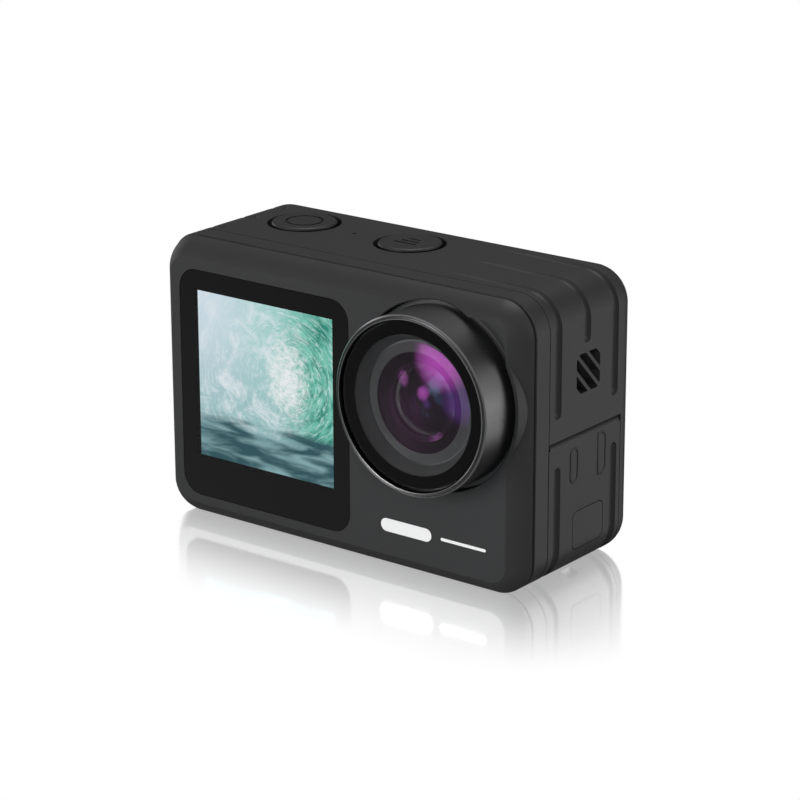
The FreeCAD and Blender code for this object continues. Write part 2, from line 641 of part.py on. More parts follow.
REAR_GLASS_X = ("-rear_glass_x", "rear_glass_x")
REAR_GLASS_Z = ("rear_glass_margin", "rear_glass_top")
node(plate("rear_touch_glass", "y", REAR_GLASS_X, REAR_GLASS_Z,
           ("rear_glass_y", "rear_y - glass_sink"), "glass_corner"))
rear_adhesive_form = plate("rear_adhesive_form", "y", grown(REAR_GLASS_X, "-0.3"),
                           grown(REAR_GLASS_Z, "-0.3"), ("rear_ledge_y", "rear_glass_y"),
                           "glass_corner - 0.3")
node(cut("rear_screen_adhesive", rear_adhesive_form, rear_window))
node(plate("rear_display", "y", REAR_PANEL_X, REAR_PANEL_Z,
           ("rear_glass_y - panel_thick", "rear_glass_y"), "0.5"))
node(box("rear_display_flex", ("-6", "6"),
         ("rear_glass_y - panel_thick - 0.15", "rear_glass_y - panel_thick"),
         ("rear_glass_margin + 6", "rear_glass_top - 12")))

# ---------------------------------------------------------------- lens bezel, which turns
node(turned("lens_bezel", "y", LENS, [
    ("holder_radius + 0.4", "cover_glass_back_y + 0.4"),
    ("cover_glass_radius + 0.05", "cover_glass_back_y + 0.4"),
    ("cover_glass_radius + 0.05", "bezel_y + 0.75"),
    ("bezel_radius - 0.5", "bezel_y + 0.75"),
    ("bezel_radius - 0.5", "bezel_y + 0.2"),
    ("bezel_radius - 0.25", "bezel_y + 0.05"),
    ("bezel_radius", "bezel_y + 0.35"),
    ("bezel_radius", "bezel_back_y - 0.2"),
    ("bezel_radius - 0.2", "bezel_back_y"),
    ("holder_radius + 0.4", "bezel_back_y")]))
node(turned("lens_trim_ring", "y", LENS, [
    ("cover_glass_radius + 0.12", "bezel_y + 0.7"),
    ("cover_glass_radius + 0.12", "bezel_y + 0.25"),
    ("cover_glass_radius + 0.25", "bezel_y + 0.08"),
    ("bezel_radius - 0.62", "bezel_y"),
    ("bezel_radius - 0.5", "bezel_y + 0.15"),
    ("bezel_radius - 0.5", "bezel_y + 0.7")]))
node(ring("lens_cover_glass", "y", LENS, "0", "cover_glass_radius",
          "cover_glass_y", "cover_glass_back_y"))
node(ring("lens_glass_mask", "y", LENS, "mask_radius", "cover_glass_radius - 0.1",
          "cover_glass_back_y", "cover_glass_back_y + 0.04"))
node(ring("lens_glass_gasket", "y", LENS, "holder_radius + 0.45", "cover_glass_radius - 0.15",
          "cover_glass_back_y + 0.04", "cover_glass_back_y + 0.4"))

# ---------------------------------------------------------------- lens holder and optics
HOLDER_FRONT = "dome_y + 0.1"
node(turned("lens_baffle", "y", LENS, [
    ("mask_radius + 0.1", "cover_glass_back_y + 0.15"),
    ("holder_radius", "cover_glass_back_y + 0.15"),
    ("holder_radius", HOLDER_FRONT),
    ("barrel_radius + 0.1", HOLDER_FRONT),
    ("barrel_radius + 0.1", "dome_y - 0.15")]))
node(turned("lens_holder", "y", LENS, [
    ("barrel_radius + 0.02", HOLDER_FRONT),
    ("holder_radius", HOLDER_FRONT),
    ("holder_radius", "face_y - 1.6"),
    ("holder_radius - 0.5", "face_y - 1.6"),
    ("holder_radius - 0.5", "face_y - 0.4"),
    ("holder_radius", "face_y - 0.4"),
    ("holder_radius", "bezel_back_y + 0.4"),
    ("collar_bore - 0.1", "bezel_back_y + 0.4"),
    ("collar_bore - 0.1", "cover_back_y"),
    ("bezel_radius - 0.2", "cover_back_y"),
    ("bezel_radius - 0.2", "cover_back_y + 1.2"),
    ("barrel_radius + 0.6", "cover_back_y + 1.2"),
    ("barrel_radius + 0.6", "dome_y + 15.9"),
    ("barrel_radius - 0.9", "dome_y + 15.9"),
    ("barrel_radius - 0.9", "dome_y + 5.4"),
    ("barrel_radius + 0.02", "dome_y + 5.4")]))
node(ring("lens_seal_ring", "y", LENS, "holder_radius - 0.5", "holder_radius + 0.4 - slip",
          "face_y - 1.55", "face_y - 0.45"))
node(turned("lens_barrel", "y", LENS, [
    ("seat_radius", "dome_y"),
    ("barrel_radius", "dome_y"),
    ("barrel_radius", "dome_y + 5.4"),
    ("barrel_radius - 2", "dome_y + 5.4"),
    ("barrel_radius - 2", "dome_y + 11.7"),
    ("stop_radius - 0.9", "dome_y + 11.7"),
    ("stop_radius - 0.9", "dome_y + 7.7"),
    ("stop_radius", "dome_y + 7.7"),
    ("stop_radius", "dome_y + 1.1"),
    ("seat_radius", "dome_y + 1.1")]))
# The front element lies on the barrel's seat with its edge, and its back fills the seat's bore.
DOME_CAP = "(dome_rise - dome_edge)"
DOME_BALL = f"((dome_radius * dome_radius + {DOME_CAP} * {DOME_CAP}) / (2 * {DOME_CAP}))"
dome_blank = join("dome_blank",
                  cylinder("dome_rim", "y", LENS, "dome_radius", "dome_y - dome_rise - 1", "dome_y"),
                  cylinder("dome_back", "y", LENS, "seat_radius - slip",
                           "dome_y - dome_edge", "dome_y + 1.1"))
dome_ball = sphere("dome_ball", "lens_x", f"dome_y - dome_rise + {DOME_BALL}", "lens_z", DOME_BALL)
dome_hollow = sphere("dome_hollow", "lens_x", "dome_y - 0.3 + 8", "lens_z", "8")
node(cut("lens_front_element", common("dome_solid", dome_blank, dome_ball), dome_hollow))


def lens_element(name, radius, middle, thick, ball):
    """A glass element with two round faces."""
    blank = cylinder(name + "_blank", "y", LENS, radius, f"{middle} - {thick}", f"{middle} + {thick}")
    front = sphere(name + "_front", "lens_x", f"{middle} - {thick} / 2 + {ball}", "lens_z", ball)
    rear = sphere(name + "_rear", "lens_x", f"{middle} + {thick} / 2 - {ball}", "lens_z", ball)
    return common(name, common(name + "_form", blank, front), rear)


node(lens_element("lens_second_element", "stop_radius - 0.02", "dome_y + 3.4", "2.4", "14"))
node(lens_element("lens_rear_element", "stop_radius - 0.92", "dome_y + 9.6", "2.2", "11"))
SENSOR_Y = "dome_y + 15.9"
node(box("infrared_filter", ("lens_x - 5.2", "lens_x + 5.2"),
         (SENSOR_Y + " - 1.6", SENSOR_Y + " - 1.3"), ("lens_z - 4.6", "lens_z + 4.6")))
node(box("image_sensor", ("lens_x - 4.6", "lens_x + 4.6"),
         (SENSOR_Y + " - 0.9", SENSOR_Y), ("lens_z - 3.8", "lens_z + 3.8")))
sensor_plate = plate("sensor_plate", "y", ("lens_x - 9", "lens_x + 9"), ("lens_z - 9", "lens_z + 9"),
                     (SENSOR_Y, SENSOR_Y + " + 0.8"), "1")
SENSOR_SCREWS = (("lens_x - 6", "lens_z - 6"), ("lens_x + 6", "lens_z + 6"))


def screws(name, axis, places, seat, head_side, shank, head_radius="1.2", shank_radius="0.6"):
    """A set of pan-head screws; seat is where the heads sit."""
    pieces = []
    for number, centre in enumerate(places, start=1):
        head_span = (seat, f"{seat} + 0.7") if head_side > 0 else (f"{seat} - 0.7", seat)
        shank_span = (f"{seat} - {shank}", seat) if head_side > 0 else (seat, f"{seat} + {shank}")
        head = cylinder(f"{name}_head_{number}", axis, centre, head_radius, *head_span)
        stem = cylinder(f"{name}_shank_{number}", axis, centre, shank_radius, *shank_span)
        pieces.append(join(f"{name}_{number}", head, stem))
    return join(name, *pieces)


def screw_holes(name, axis, places, low, high, radius="0.6"):
    return [cylinder(f"{name}_{number}", axis, centre, radius, low, high)
            for number, centre in enumerate(places, start=1)]


node(cut("sensor_board", sensor_plate,
         *screw_holes("sensor_hole", "y", SENSOR_SCREWS, SENSOR_Y + " - 1", SENSOR_Y + " + 2")))
node(screws("sensor_screws", "y", SENSOR_SCREWS, SENSOR_Y + " + 0.8", 1, "0.8"))

# ---------------------------------------------------------------- top buttons
WELLS = {"shutter": ("shutter_x", "shutter_well"), "mode": ("mode_x", "mode_well")}
CAP_TOP = "body_height + button_proud"
FLANGE_TOP = "wall_under_z - 0.4"


def button_form(name, x, well):
    """A turned cap with a retaining flange and a short stem."""
    cap = f"{well} - button_gap"
    return turned(name, "z", (x, "button_y"), [
        ("0", FLANGE_TOP + " - 1.6"),
        ("1.2", FLANGE_TOP + " - 1.6"),
        ("1.2", FLANGE_TOP + " - 0.6"),
        (f"{well} + 0.7", FLANGE_TOP + " - 0.6"),
        (f"{well} + 0.7", FLANGE_TOP),
        (cap, FLANGE_TOP),
        (cap, CAP_TOP + " - 0.3"),
        (f"{cap} - 0.12", CAP_TOP + " - 0.1"),
        (f"{cap} - 0.4", CAP_TOP),
        ("0", CAP_TOP)])


ring_mark = ring("ring_mark", "z", ("shutter_x", "button_y"), "2.45", "2.8",
                 CAP_TOP + " - 0.12", CAP_TOP + " + 1")
node(cut("shutter_button", button_form("shutter_form", *WELLS["shutter"]), ring_mark))
mode_marks = [plate(f"mode_mark_{i + 1}", "z", (f"mode_x - {1.0 + 0.5 * i}", f"mode_x + {1.0 + 0.5 * i}"),
                    (f"button_y + {0.95 - 1.1 * i}", f"button_y + {1.35 - 1.1 * i}"),
                    (CAP_TOP + " - 0.12", CAP_TOP + " + 1"), "0.19") for i in range(3)]
node(cut("mode_button", button_form("mode_form", *WELLS["mode"]), *mode_marks))

KEY_BOARD_Z = "board_top + 0.9"
switch_pieces = []
dome_pieces = []
for word, (x, well) in WELLS.items():
    base = box(word + "_switch_base", (f"{x} - 2.1", f"{x} + 2.1"), ("button_y - 2.1", "button_y + 2.1"),
               (KEY_BOARD_Z + " + 0.8", KEY_BOARD_Z + " + 1.5"))
    stem = cylinder(word + "_switch_stem", "z", (x, "button_y"), "1",
                    KEY_BOARD_Z + " + 1.5", FLANGE_TOP + " - 1.6 - button_travel - 0.1")
    switch_pieces.append(join(word + "_switch", base, stem))
    dome_pieces.append(ring(word + "_dome", "z", (x, "button_y"), "3.2", "4.0",
                            KEY_BOARD_Z + " + 0.8", FLANGE_TOP + " - 0.6 - button_travel - 0.1"))
node(join("tact_switches", *switch_pieces))
node(join("button_return_springs", *dome_pieces))
node(box("key_board", ("shutter_x - 7", "mode_x + 7"), ("button_y - 5", "button_y + 5"),
         (KEY_BOARD_Z, KEY_BOARD_Z + " + 0.8")))
MIC = ("(shutter_x + mode_x) / 2", "button_y - 0.4")
node(cylinder("mic_membrane", "z", MIC, "1.7", "wall_under_z - 0.2", "wall_under_z"))
node(box("microphone", (MIC[0] + " - 1.7", MIC[0] + " + 1.7"), (MIC[1] + " - 1.3", MIC[1] + " + 1.3"),
         ("wall_under_z - 1.2", "wall_under_z - 0.2")))

# ---------------------------------------------------------------- speaker
INSIDE_RIGHT = "half_width - shell_wall"
node(plate("speaker_mesh", "x", ("speaker_y - 3.6", "speaker_y + 3.6"),
           ("speaker_z - 3.6", "speaker_z + 3.6"), (INSIDE_RIGHT + " - 0.2", INSIDE_RIGHT), "1.2"))
node(plate("speaker", "x", ("speaker_y - 4.2", "speaker_y + 4.2"), ("speaker_z - 4.2", "speaker_z + 4.2"),
           (INSIDE_RIGHT + " - 2.9", INSIDE_RIGHT + " - 0.2"), "1.4"))

# ---------------------------------------------------------------- main board and what it carries
BOARD_LEFT = "2.9 - half_width"
BOARD_RIGHT = "half_width - port_back_inset - 0.35"
NOTCH_X = INSIDE_RIGHT + " - 3.6"
NOTCH_Z = "speaker_z - 5"
BOARD_SCREWS = (("battery_left - 1.9", "6"), ("battery_left - 1.9", "board_top - 2.4"),
                (BOARD_RIGHT + " - 2.4", "6"), ("nut_x - 4", "board_top - 2.4"))
board_form = outline_plate("board_form", "y", [
    (BOARD_LEFT, "3.6"), (BOARD_RIGHT + " - 2", "3.6"), (BOARD_RIGHT, "5.6"),
    (BOARD_RIGHT, NOTCH_Z), (NOTCH_X, NOTCH_Z),
    (NOTCH_X, "board_top"), (BOARD_LEFT, "board_top")], ("board_y", "board_rear_y"))
node(cut("main_board", board_form,
         *screw_holes("board_hole", "y", BOARD_SCREWS, "board_y - 1", "board_rear_y + 1")))
node(box("image_processor", ("lens_x - 16", "lens_x - 4"), ("board_rear_y", "board_rear_y + 1.2"),
         ("lens_z - 12", "lens_z")))
shield_outer = box("shield_outer", ("lens_x - 18", "lens_x - 2"), ("board_rear_y", "board_rear_y + 2"),
                   ("lens_z - 14", "lens_z + 2"))
shield_inner = box("shield_inner", ("lens_x - 17.8", "lens_x - 2.2"),
                   ("board_rear_y - 1", "board_rear_y + 1.8"), ("lens_z - 13.8", "lens_z + 1.8"))
node(cut("shield_can", shield_outer, shield_inner))
node(box("thermal_pad", ("lens_x - 16", "lens_x - 4"), ("board_rear_y + 2", "spreader_y"),
         ("lens_z - 12", "lens_z")))
node(box("memory_chip", ("battery_left + 4", "battery_left + 15"), ("board_rear_y", "board_rear_y + 1"),
         ("lens_z - 8", "lens_z + 3")))
spreader_plate = plate("spreader_plate", "y", (BOARD_LEFT, BOARD_RIGHT), ("3.6", "board_top"),
                       ("spreader_y", "spreader_y + 0.8"), "2")
standoffs = [cylinder(f"standoff_{i}", "y", centre, "1.5", "board_rear_y", "spreader_y")
             for i, centre in enumerate(BOARD_SCREWS, start=1)]
node(cut("heat_spreader", join("spreader_solid", spreader_plate, *standoffs),
         *screw_holes("standoff_hole", "y", BOARD_SCREWS, "board_rear_y - 1", "spreader_y - 0.4")))
node(screws("board_screws", "y", BOARD_SCREWS, "board_y", -1, "spreader_y - board_y - 0.6"))


def socket(name, y, z, wall, corner):
    """A connector shell, open towards the right, with a tongue inside."""
    shell = plate(name + "_shell", "x", y, z, ("port_floor_x - 6.4", "port_floor_x"), corner)
    mouth = plate(name + "_mouth", "x", grown(y, "-" + wall), grown(z, "-" + wall),
                  ("port_floor_x - 5.6", "port_floor_x + 1"), corner + " - " + wall)
    middle = f"(({y[0]}) + ({y[1]})) / 2"
    tongue = box(name + "_tongue", ("port_floor_x - 6", "port_floor_x - 0.8"),
                 (middle + " - 0.35", middle + " + 0.35"), grown(z, "-" + wall + " - 0.9"))
    return join(name, cut(name + "_can", shell, mouth), tongue)


node(socket("usb_socket", USB_Y, USB_Z, "0.3", "1.3"))
node(socket("video_socket", VIDEO_Y, VIDEO_Z, "0.3", "0.6"))

CARD_X = ("battery_left + 8", "battery_left + 19")
CARD_Y = ("board_y - 1", "board_y - 0.3")
card_case = box("card_case", grown(CARD_X, "0.8"), ("board_y - 1.3", "board_y"), ("4.6", "19.6"))
card_room = box("card_room", grown(CARD_X, "0.05"), CARD_Y, ("4", "18.6"))
node(cut("card_socket", card_case, card_room))
node(box("memory_card", CARD_X, CARD_Y, ("3.6", "18.4")))

# ---------------------------------------------------------------- battery and its bay
BATTERY_X = ("battery_left", "battery_right")
BATTERY_Y = ("battery_front_y", "battery_rear_y")
bay_outer = plate("bay_outer", "z", grown(BATTERY_X, "0.2 + bay_wall"), grown(BATTERY_Y, "0.2 + bay_wall"),
                  ("3.2", "battery_top + 0.6"), "1.4")
bay_inner = plate("bay_inner", "z", grown(BATTERY_X, "0.2"), grown(BATTERY_Y, "0.2"),
                  ("3", "battery_top + 1"), "0.9")
node(cut("battery_bay", bay_outer, bay_inner))
node(plate("battery", "z", BATTERY_X, BATTERY_Y, ("battery_base", "battery_top"), "0.8"))
contact_base = box("contact_base", ("battery_left + 8", "battery_left + 18"),
                   ("battery_front_y + 1.5", "battery_rear_y - 1.5"),
                   ("battery_top + 0.3", "battery_top + 1.3"))
blades = [box(f"contact_blade_{i + 1}",
              (f"battery_left + {9.2 + 2.9 * i}", f"battery_left + {10.6 + 2.9 * i}"),
              ("battery_front_y + 3", "battery_rear_y - 3"), ("battery_top", "battery_top + 0.3"))
          for i in range(3)]
node(join("battery_contacts", contact_base, *blades))
node(box("battery_pull_tab", ("battery_left + 10", "battery_left + 17"),
         ("battery_front_y + 4", "battery_front_y + 4.25"), ("bottom_door_top + 0.6", "battery_base")))

# ---------------------------------------------------------------- battery door, which swings down
DOOR_Z = ("bottom_door_sink", "bottom_door_top")
door_leaf = plate("door_leaf", "z", ("bottom_left", "bottom_right"), ("bottom_front_y", "bottom_rear_y"),
                  DOOR_Z, BOTTOM_CORNER)
door_trim = box("door_trim", ("bottom_left - 1", "bottom_hinge_x"),
                ("bottom_front_y - 1", "bottom_rear_y + 1"),
                ("-1", "3"))
door_barrel = cylinder("door_barrel", "y", ("bottom_hinge_x", "bottom_hinge_z"), "bottom_door_thick / 2",
                       "bottom_front_y + 0.5", "bottom_rear_y - 0.5")
door_bore = cylinder("door_bore", "y", ("bottom_hinge_x", "bottom_hinge_z"), "bottom_pin + slip",
                     "bottom_front_y - 1", "bottom_rear_y + 1")
LATCH_X = ("bottom_right - 10.5", "bottom_right - 3.8")
LATCH_Y = ("(bottom_front_y + bottom_rear_y) / 2 - 3", "(bottom_front_y + bottom_rear_y) / 2 + 3")
latch_pocket = plate("latch_pocket", "z", (LATCH_X[0] + " - 0.15", LATCH_X[1] + " + 1.65"),
                     grown(LATCH_Y, "part_gap"), ("-1", "bottom_door_sink + 0.8"), "0.7")
node(cut("battery_door", join("door_solid", cut("door_flat", door_leaf, door_trim), door_barrel),
         door_bore, latch_pocket))
node(cylinder("battery_door_hinge_pin", "y", ("bottom_hinge_x", "bottom_hinge_z"), "bottom_pin",
              "bottom_front_y - 1.3", "bottom_rear_y + 1.3"))
node(cut("battery_door_seal",
         plate("seal_outer", "z", grown(MOUTH_X, "-part_gap"), grown(MOUTH_Y, "-part_gap"),
               ("bottom_door_top", "bottom_door_top + 1"), "0.9"),
         plate("seal_inner", "z", grown(MOUTH_X, "-part_gap - 0.8"), grown(MOUTH_Y, "-part_gap - 0.8"),
               ("bottom_door_top - 1", "bottom_door_top + 2"), "0.4")))
latch_form = plate("latch_form", "z", LATCH_X, LATCH_Y, ("bottom_door_sink", "bottom_door_sink + 0.7"), "0.6")
latch_ribs = [box(f"latch_rib_{i + 1}",
                  (f"{LATCH_X[0]} + {1.6 + 1.2 * i}", f"{LATCH_X[0]} + {2.1 + 1.2 * i}"),
                  grown(LATCH_Y, "-1"), ("-1", "bottom_door_sink + 0.2")) for i in range(4)]
node(cut("battery_door_latch", latch_form, *latch_ribs))

# ---------------------------------------------------------------- port door, which swings up
port_leaf_full = common("port_leaf_full", grooved_form, port_zone)
port_leaf = cut("port_leaf", port_leaf_full,
                body_outline("port_leaf_core", "shell_wall", ("face_y", "rear_y - 0.5")),
                box("port_leaf_trim", ("half_width - 4", "half_width + 2"),
                    ("port_front_y - 1", "port_rear_y + 1"), ("port_hinge_z", "port_door_top + 1")))
port_barrel_rod = cylinder("port_barrel_rod", "y", ("port_hinge_x", "port_hinge_z"), "port_barrel",
                           "port_front_y + 0.3", "port_rear_y - 0.3")
port_bore = cylinder("port_bore", "y", ("port_hinge_x", "port_hinge_z"), "port_pin + slip",
                     "port_front_y - 1", "port_rear_y + 1")
PORT_MIDDLE_Y = "(port_front_y + port_rear_y) / 2 + 0.9"
BUTTON_Y = (PORT_MIDDLE_Y + " - 3.6", PORT_MIDDLE_Y + " + 3.6")
BUTTON_Z = ("4.1", "9.55")
release_pocket = plate("release_pocket", "x", grown(BUTTON_Y, "0.12"), grown(BUTTON_Z, "0.12"),
                       ("half_width - shell_wall + 0.35", "half_width + 1"), "1.1")
nail_notch = cylinder("nail_notch", "y", ("half_width - 2.6", "0.2"), "0.9",
                      PORT_MIDDLE_Y + " - 1.2", PORT_MIDDLE_Y + " + 1.2")
node(cut("port_door", join("port_door_solid", port_leaf, port_barrel_rod),
         port_bore, release_pocket, nail_notch))
node(cylinder("port_door_hinge_pin", "y", ("port_hinge_x", "port_hinge_z"), "port_pin",
              "port_front_y - 1.3", "port_rear_y + 1.3"))
seal_y = grown(RECESS_Y, "-part_gap")
seal_z = grown((SOCKET_Z + " - 5.4", SOCKET_Z + " + 5.4"), "-part_gap")
SEAL_X = ("half_width - shell_wall - 0.75", "half_width - shell_wall")
node(cut("port_door_seal",
         plate("port_seal_outer", "x", seal_y, seal_z, SEAL_X, "0.85"),
         plate("port_seal_inner", "x", grown(seal_y, "-0.55"), grown(seal_z, "-0.55"),
               ("half_width - shell_wall - 2", "half_width + 1"), "0.4")))
release_zone = plate("release_zone", "x", BUTTON_Y, BUTTON_Z, ("half_width - 0.75", "half_width + 1"), "1")
node(common("port_door_release", grooved_form, release_zone))

# ---------------------------------------------------------------- tripod nut
node(turned("tripod_nut", "z", ("nut_x", "nut_y"), [
    ("0", "nut_height"), ("0", "nut_height - 0.5"), ("nut_bore", "nut_height - 0.5"),
    ("nut_bore", "0.45"), ("nut_bore + 0.4", "0.05"), ("nut_radius", "0.05"),
    ("nut_radius", "nut_height")]))

# ---------------------------------------------------------------- check and export
doc.recompute()
for item in doc.Objects:
    if "Invalid" in item.State or "Error" in item.State:
        raise RuntimeError(f"{item.Label} did not compute: {item.State}")
for item in nodes:
    if item.Shape.isNull() or not item.Shape.isValid() or item.Shape.Volume <= 0:
        raise RuntimeError(f"{item.Label} has no valid shape")

os.makedirs("parts", exist_ok=True)
for item in nodes:
    item.Shape.exportStep(os.path.join("parts", item.Label + ".step"))
    print(f"{item.Label:26s} solids {len(item.Shape.Solids)}  volume {item.Shape.Volume:9.2f} mm3")
print(len(nodes), "sub-parts written")
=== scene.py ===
import math

import bmesh
import bpy
from mathutils import Matrix, Vector


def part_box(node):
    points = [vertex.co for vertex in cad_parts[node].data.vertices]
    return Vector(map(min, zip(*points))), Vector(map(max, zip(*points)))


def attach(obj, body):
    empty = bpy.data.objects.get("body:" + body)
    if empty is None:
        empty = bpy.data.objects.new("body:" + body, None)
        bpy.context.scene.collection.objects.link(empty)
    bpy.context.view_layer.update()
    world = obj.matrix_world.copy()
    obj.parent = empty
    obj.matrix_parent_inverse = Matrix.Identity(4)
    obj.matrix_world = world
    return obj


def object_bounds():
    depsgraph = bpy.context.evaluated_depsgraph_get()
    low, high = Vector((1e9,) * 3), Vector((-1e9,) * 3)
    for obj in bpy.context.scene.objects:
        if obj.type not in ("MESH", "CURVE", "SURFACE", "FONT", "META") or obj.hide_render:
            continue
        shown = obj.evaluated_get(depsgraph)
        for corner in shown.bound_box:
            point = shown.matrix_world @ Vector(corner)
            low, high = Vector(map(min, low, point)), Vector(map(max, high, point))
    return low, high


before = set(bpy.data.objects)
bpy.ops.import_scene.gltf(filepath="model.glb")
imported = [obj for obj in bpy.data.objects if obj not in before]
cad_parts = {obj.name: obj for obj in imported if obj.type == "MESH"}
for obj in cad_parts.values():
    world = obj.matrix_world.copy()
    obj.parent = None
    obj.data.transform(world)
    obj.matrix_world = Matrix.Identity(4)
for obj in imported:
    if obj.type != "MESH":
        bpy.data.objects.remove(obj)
cad_low, cad_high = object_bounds()

# ---------------------------------------------------------------- studio
# A white table sweep under four soft panels: two in front, one at the right, one overhead.
# The studio camera looks down a little from the lens side.
VIEW_AZIMUTH = math.radians(37.764)
VIEW_ELEVATION = math.radians(18.142)
VIEW_ROLL = math.radians(-0.182)
VIEW_DISTANCE = 0.41768
VIEW_TARGET = Vector((0.00360, -0.00025, 0.02063))

towards_camera = Vector((
    math.sin(VIEW_AZIMUTH) * math.cos(VIEW_ELEVATION),
    -math.cos(VIEW_AZIMUTH) * math.cos(VIEW_ELEVATION),
    math.sin(VIEW_ELEVATION)))
camera_data = bpy.data.cameras.new("studio_camera")
camera_data.lens = 134.1
camera_data.sensor_width = 36.0
camera_data.clip_start = 0.01
camera_data.clip_end = 20.0
camera = bpy.data.objects.new("studio_camera", camera_data)
camera.location = VIEW_TARGET + towards_camera * VIEW_DISTANCE
look = (-towards_camera).to_track_quat("-Z", "Y").to_matrix().to_4x4()
roll = Matrix.Rotation(VIEW_ROLL, 4, "Z")
camera.matrix_world = Matrix.Translation(camera.location) @ look @ roll
bpy.context.scene.collection.objects.link(camera)
bpy.context.scene.camera = camera
bpy.context.scene.view_settings.view_transform = "Standard"


def area_light(name, place, aim, width, height, power):
    """A soft panel at one place, turned towards another."""
    data = bpy.data.lights.new(name, "AREA")
    data.shape = "RECTANGLE"
    data.size = width
    data.size_y = height
    data.energy = power
    lamp = bpy.data.objects.new(name, data)
    lamp.location = place
    lamp.rotation_euler = (Vector(aim) - Vector(place)).to_track_quat("-Z", "Y").to_euler()
    bpy.context.scene.collection.objects.link(lamp)
    return lamp


LIGHT_AIM = (0.0, 0.0, 0.02)
area_light("front_panel", (-0.10, -0.80, 0.20), LIGHT_AIM, 0.36, 0.40, 0.8)
area_light("near_panel", (0.42, -0.60, 0.34), LIGHT_AIM, 0.30, 0.30, 1.9)
area_light("right_panel", (0.62, 0.36, 0.16), LIGHT_AIM, 0.34, 0.50, 1.7)
area_light("top_panel", (-0.05, 0.25, 0.80), LIGHT_AIM, 0.6, 0.5, 3.7)
# Polished surfaces see the soft glows of the air below, not the square edges of the front panels.
for name in ("front_panel", "near_panel"):
    bpy.data.objects[name].visible_glossy = False
    bpy.data.objects[name].visible_transmission = False

# The air of the studio: white to the camera and even for dull surfaces. Polished surfaces
# see a dim surround with a few soft glows.
world = bpy.data.worlds.new("studio_air")
bpy.context.scene.world = world
world.use_nodes = True
air = world.node_tree
AIR_LEVEL = 0.11
EVEN_AIR = 0.16
# Each glow: direction, colour, strength, and how far from its middle it starts to fade and
# ends, in degrees.
AIR_GLOWS = (
    ((-0.30, -0.93, 0.20), (1.0, 1.0, 1.0), 9.5, 1, 22),
    ((-0.08, -0.97, -0.22), (0.45, 0.85, 1.0), 2.6, 1, 14),
    ((-0.66, -0.60, -0.45), (1.0, 1.0, 1.0), 0.25, 4, 20),
    ((0.60, 0.74, -0.30), (1.0, 1.0, 1.0), 1.35, 4, 24),
    ((-0.68, -0.724, -0.116), (1.0, 1.0, 1.0), 3.2, 0.5, 4.5),
    ((-0.95, 0.15, 0.15), (1.0, 1.0, 1.0), 1.0, 5, 25),
)
air_place = air.nodes.new("ShaderNodeTexCoord")
air_total = None
for direction, colour, strength, core, end in AIR_GLOWS:
    aim = Vector(direction).normalized()
    dot = air.nodes.new("ShaderNodeVectorMath")
    dot.operation = "DOT_PRODUCT"
    dot.inputs[1].default_value = aim
    air.links.new(air_place.outputs["Generated"], dot.inputs[0])
    fade = air.nodes.new("ShaderNodeMapRange")
    fade.interpolation_type = "SMOOTHSTEP"
    fade.inputs["From Min"].default_value = math.cos(math.radians(end))
    fade.inputs["From Max"].default_value = math.cos(math.radians(core))
    air.links.new(dot.outputs["Value"], fade.inputs["Value"])
    glow = air.nodes.new("ShaderNodeVectorMath")
    glow.operation = "SCALE"
    glow.inputs[0].default_value = [strength * c for c in colour]
    air.links.new(fade.outputs["Result"], glow.inputs["Scale"])
    total = air.nodes.new("ShaderNodeVectorMath")
    total.operation = "ADD"
    air.links.new(glow.outputs["Vector"], total.inputs[0])
    if air_total is None:
        total.inputs[1].default_value = (AIR_LEVEL, AIR_LEVEL, AIR_LEVEL)
    else:
        air.links.new(air_total, total.inputs[1])
    air_total = total.outputs["Vector"]
air_path = air.nodes.new("ShaderNodeLightPath")
# Dull surfaces are lit by the panels and the even air; the glows are for polished ones.
air_dull = air.nodes.new("ShaderNodeMix")
air_dull.data_type = "RGBA"
air.links.new(air_path.outputs["Is Diffuse Ray"], air_dull.inputs["Factor"])
air.links.new(air_total, air_dull.inputs["A"])
air_dull.inputs["B"].default_value = (EVEN_AIR, EVEN_AIR, EVEN_AIR, 1)
air_seen = air.nodes.new("ShaderNodeMix")
air_seen.data_type = "RGBA"
air.links.new(air_path.outputs["Is Camera Ray"], air_seen.inputs["Factor"])
air.links.new(air_dull.outputs["Result"], air_seen.inputs["A"])
air_seen.inputs["B"].default_value = (1, 1, 1, 1)
air.links.new(air_seen.outputs["Result"], air.nodes["Background"].inputs["Color"])

# The sweep lies a hair below the object's feet.
FLOOR_HALF = 3.0
FLOOR_DROP = 0.0001
floor_mesh = bpy.data.meshes.new("studio_floor")
floor_mesh.from_pydata(
    [(-FLOOR_HALF, -FLOOR_HALF, 0), (FLOOR_HALF, -FLOOR_HALF, 0),
     (FLOOR_HALF, FLOOR_HALF, 0), (-FLOOR_HALF, FLOOR_HALF, 0)], [], [(0, 1, 2, 3)])
studio_floor = bpy.data.objects.new("studio_floor", floor_mesh)
studio_floor.location.z = -FLOOR_DROP
bpy.context.scene.collection.objects.link(studio_floor)
floor_paint = bpy.data.materials.new("white_sweep")
floor_paint.use_nodes = True
floor_nodes = floor_paint.node_tree.nodes
floor_links = floor_paint.node_tree.links
floor_shader = floor_nodes["Principled BSDF"]
floor_shader.inputs["Base Color"].default_value = (0.55, 0.55, 0.56, 1)
floor_shader.inputs["Roughness"].default_value = 0.6
# To the camera the sweep is evenly white, with a polish that mirrors what stands on it.
floor_glow = floor_nodes.new("ShaderNodeEmission")
floor_polish = floor_nodes.new("ShaderNodeBsdfGlossy")
floor_polish.inputs["Roughness"].default_value = 0.10
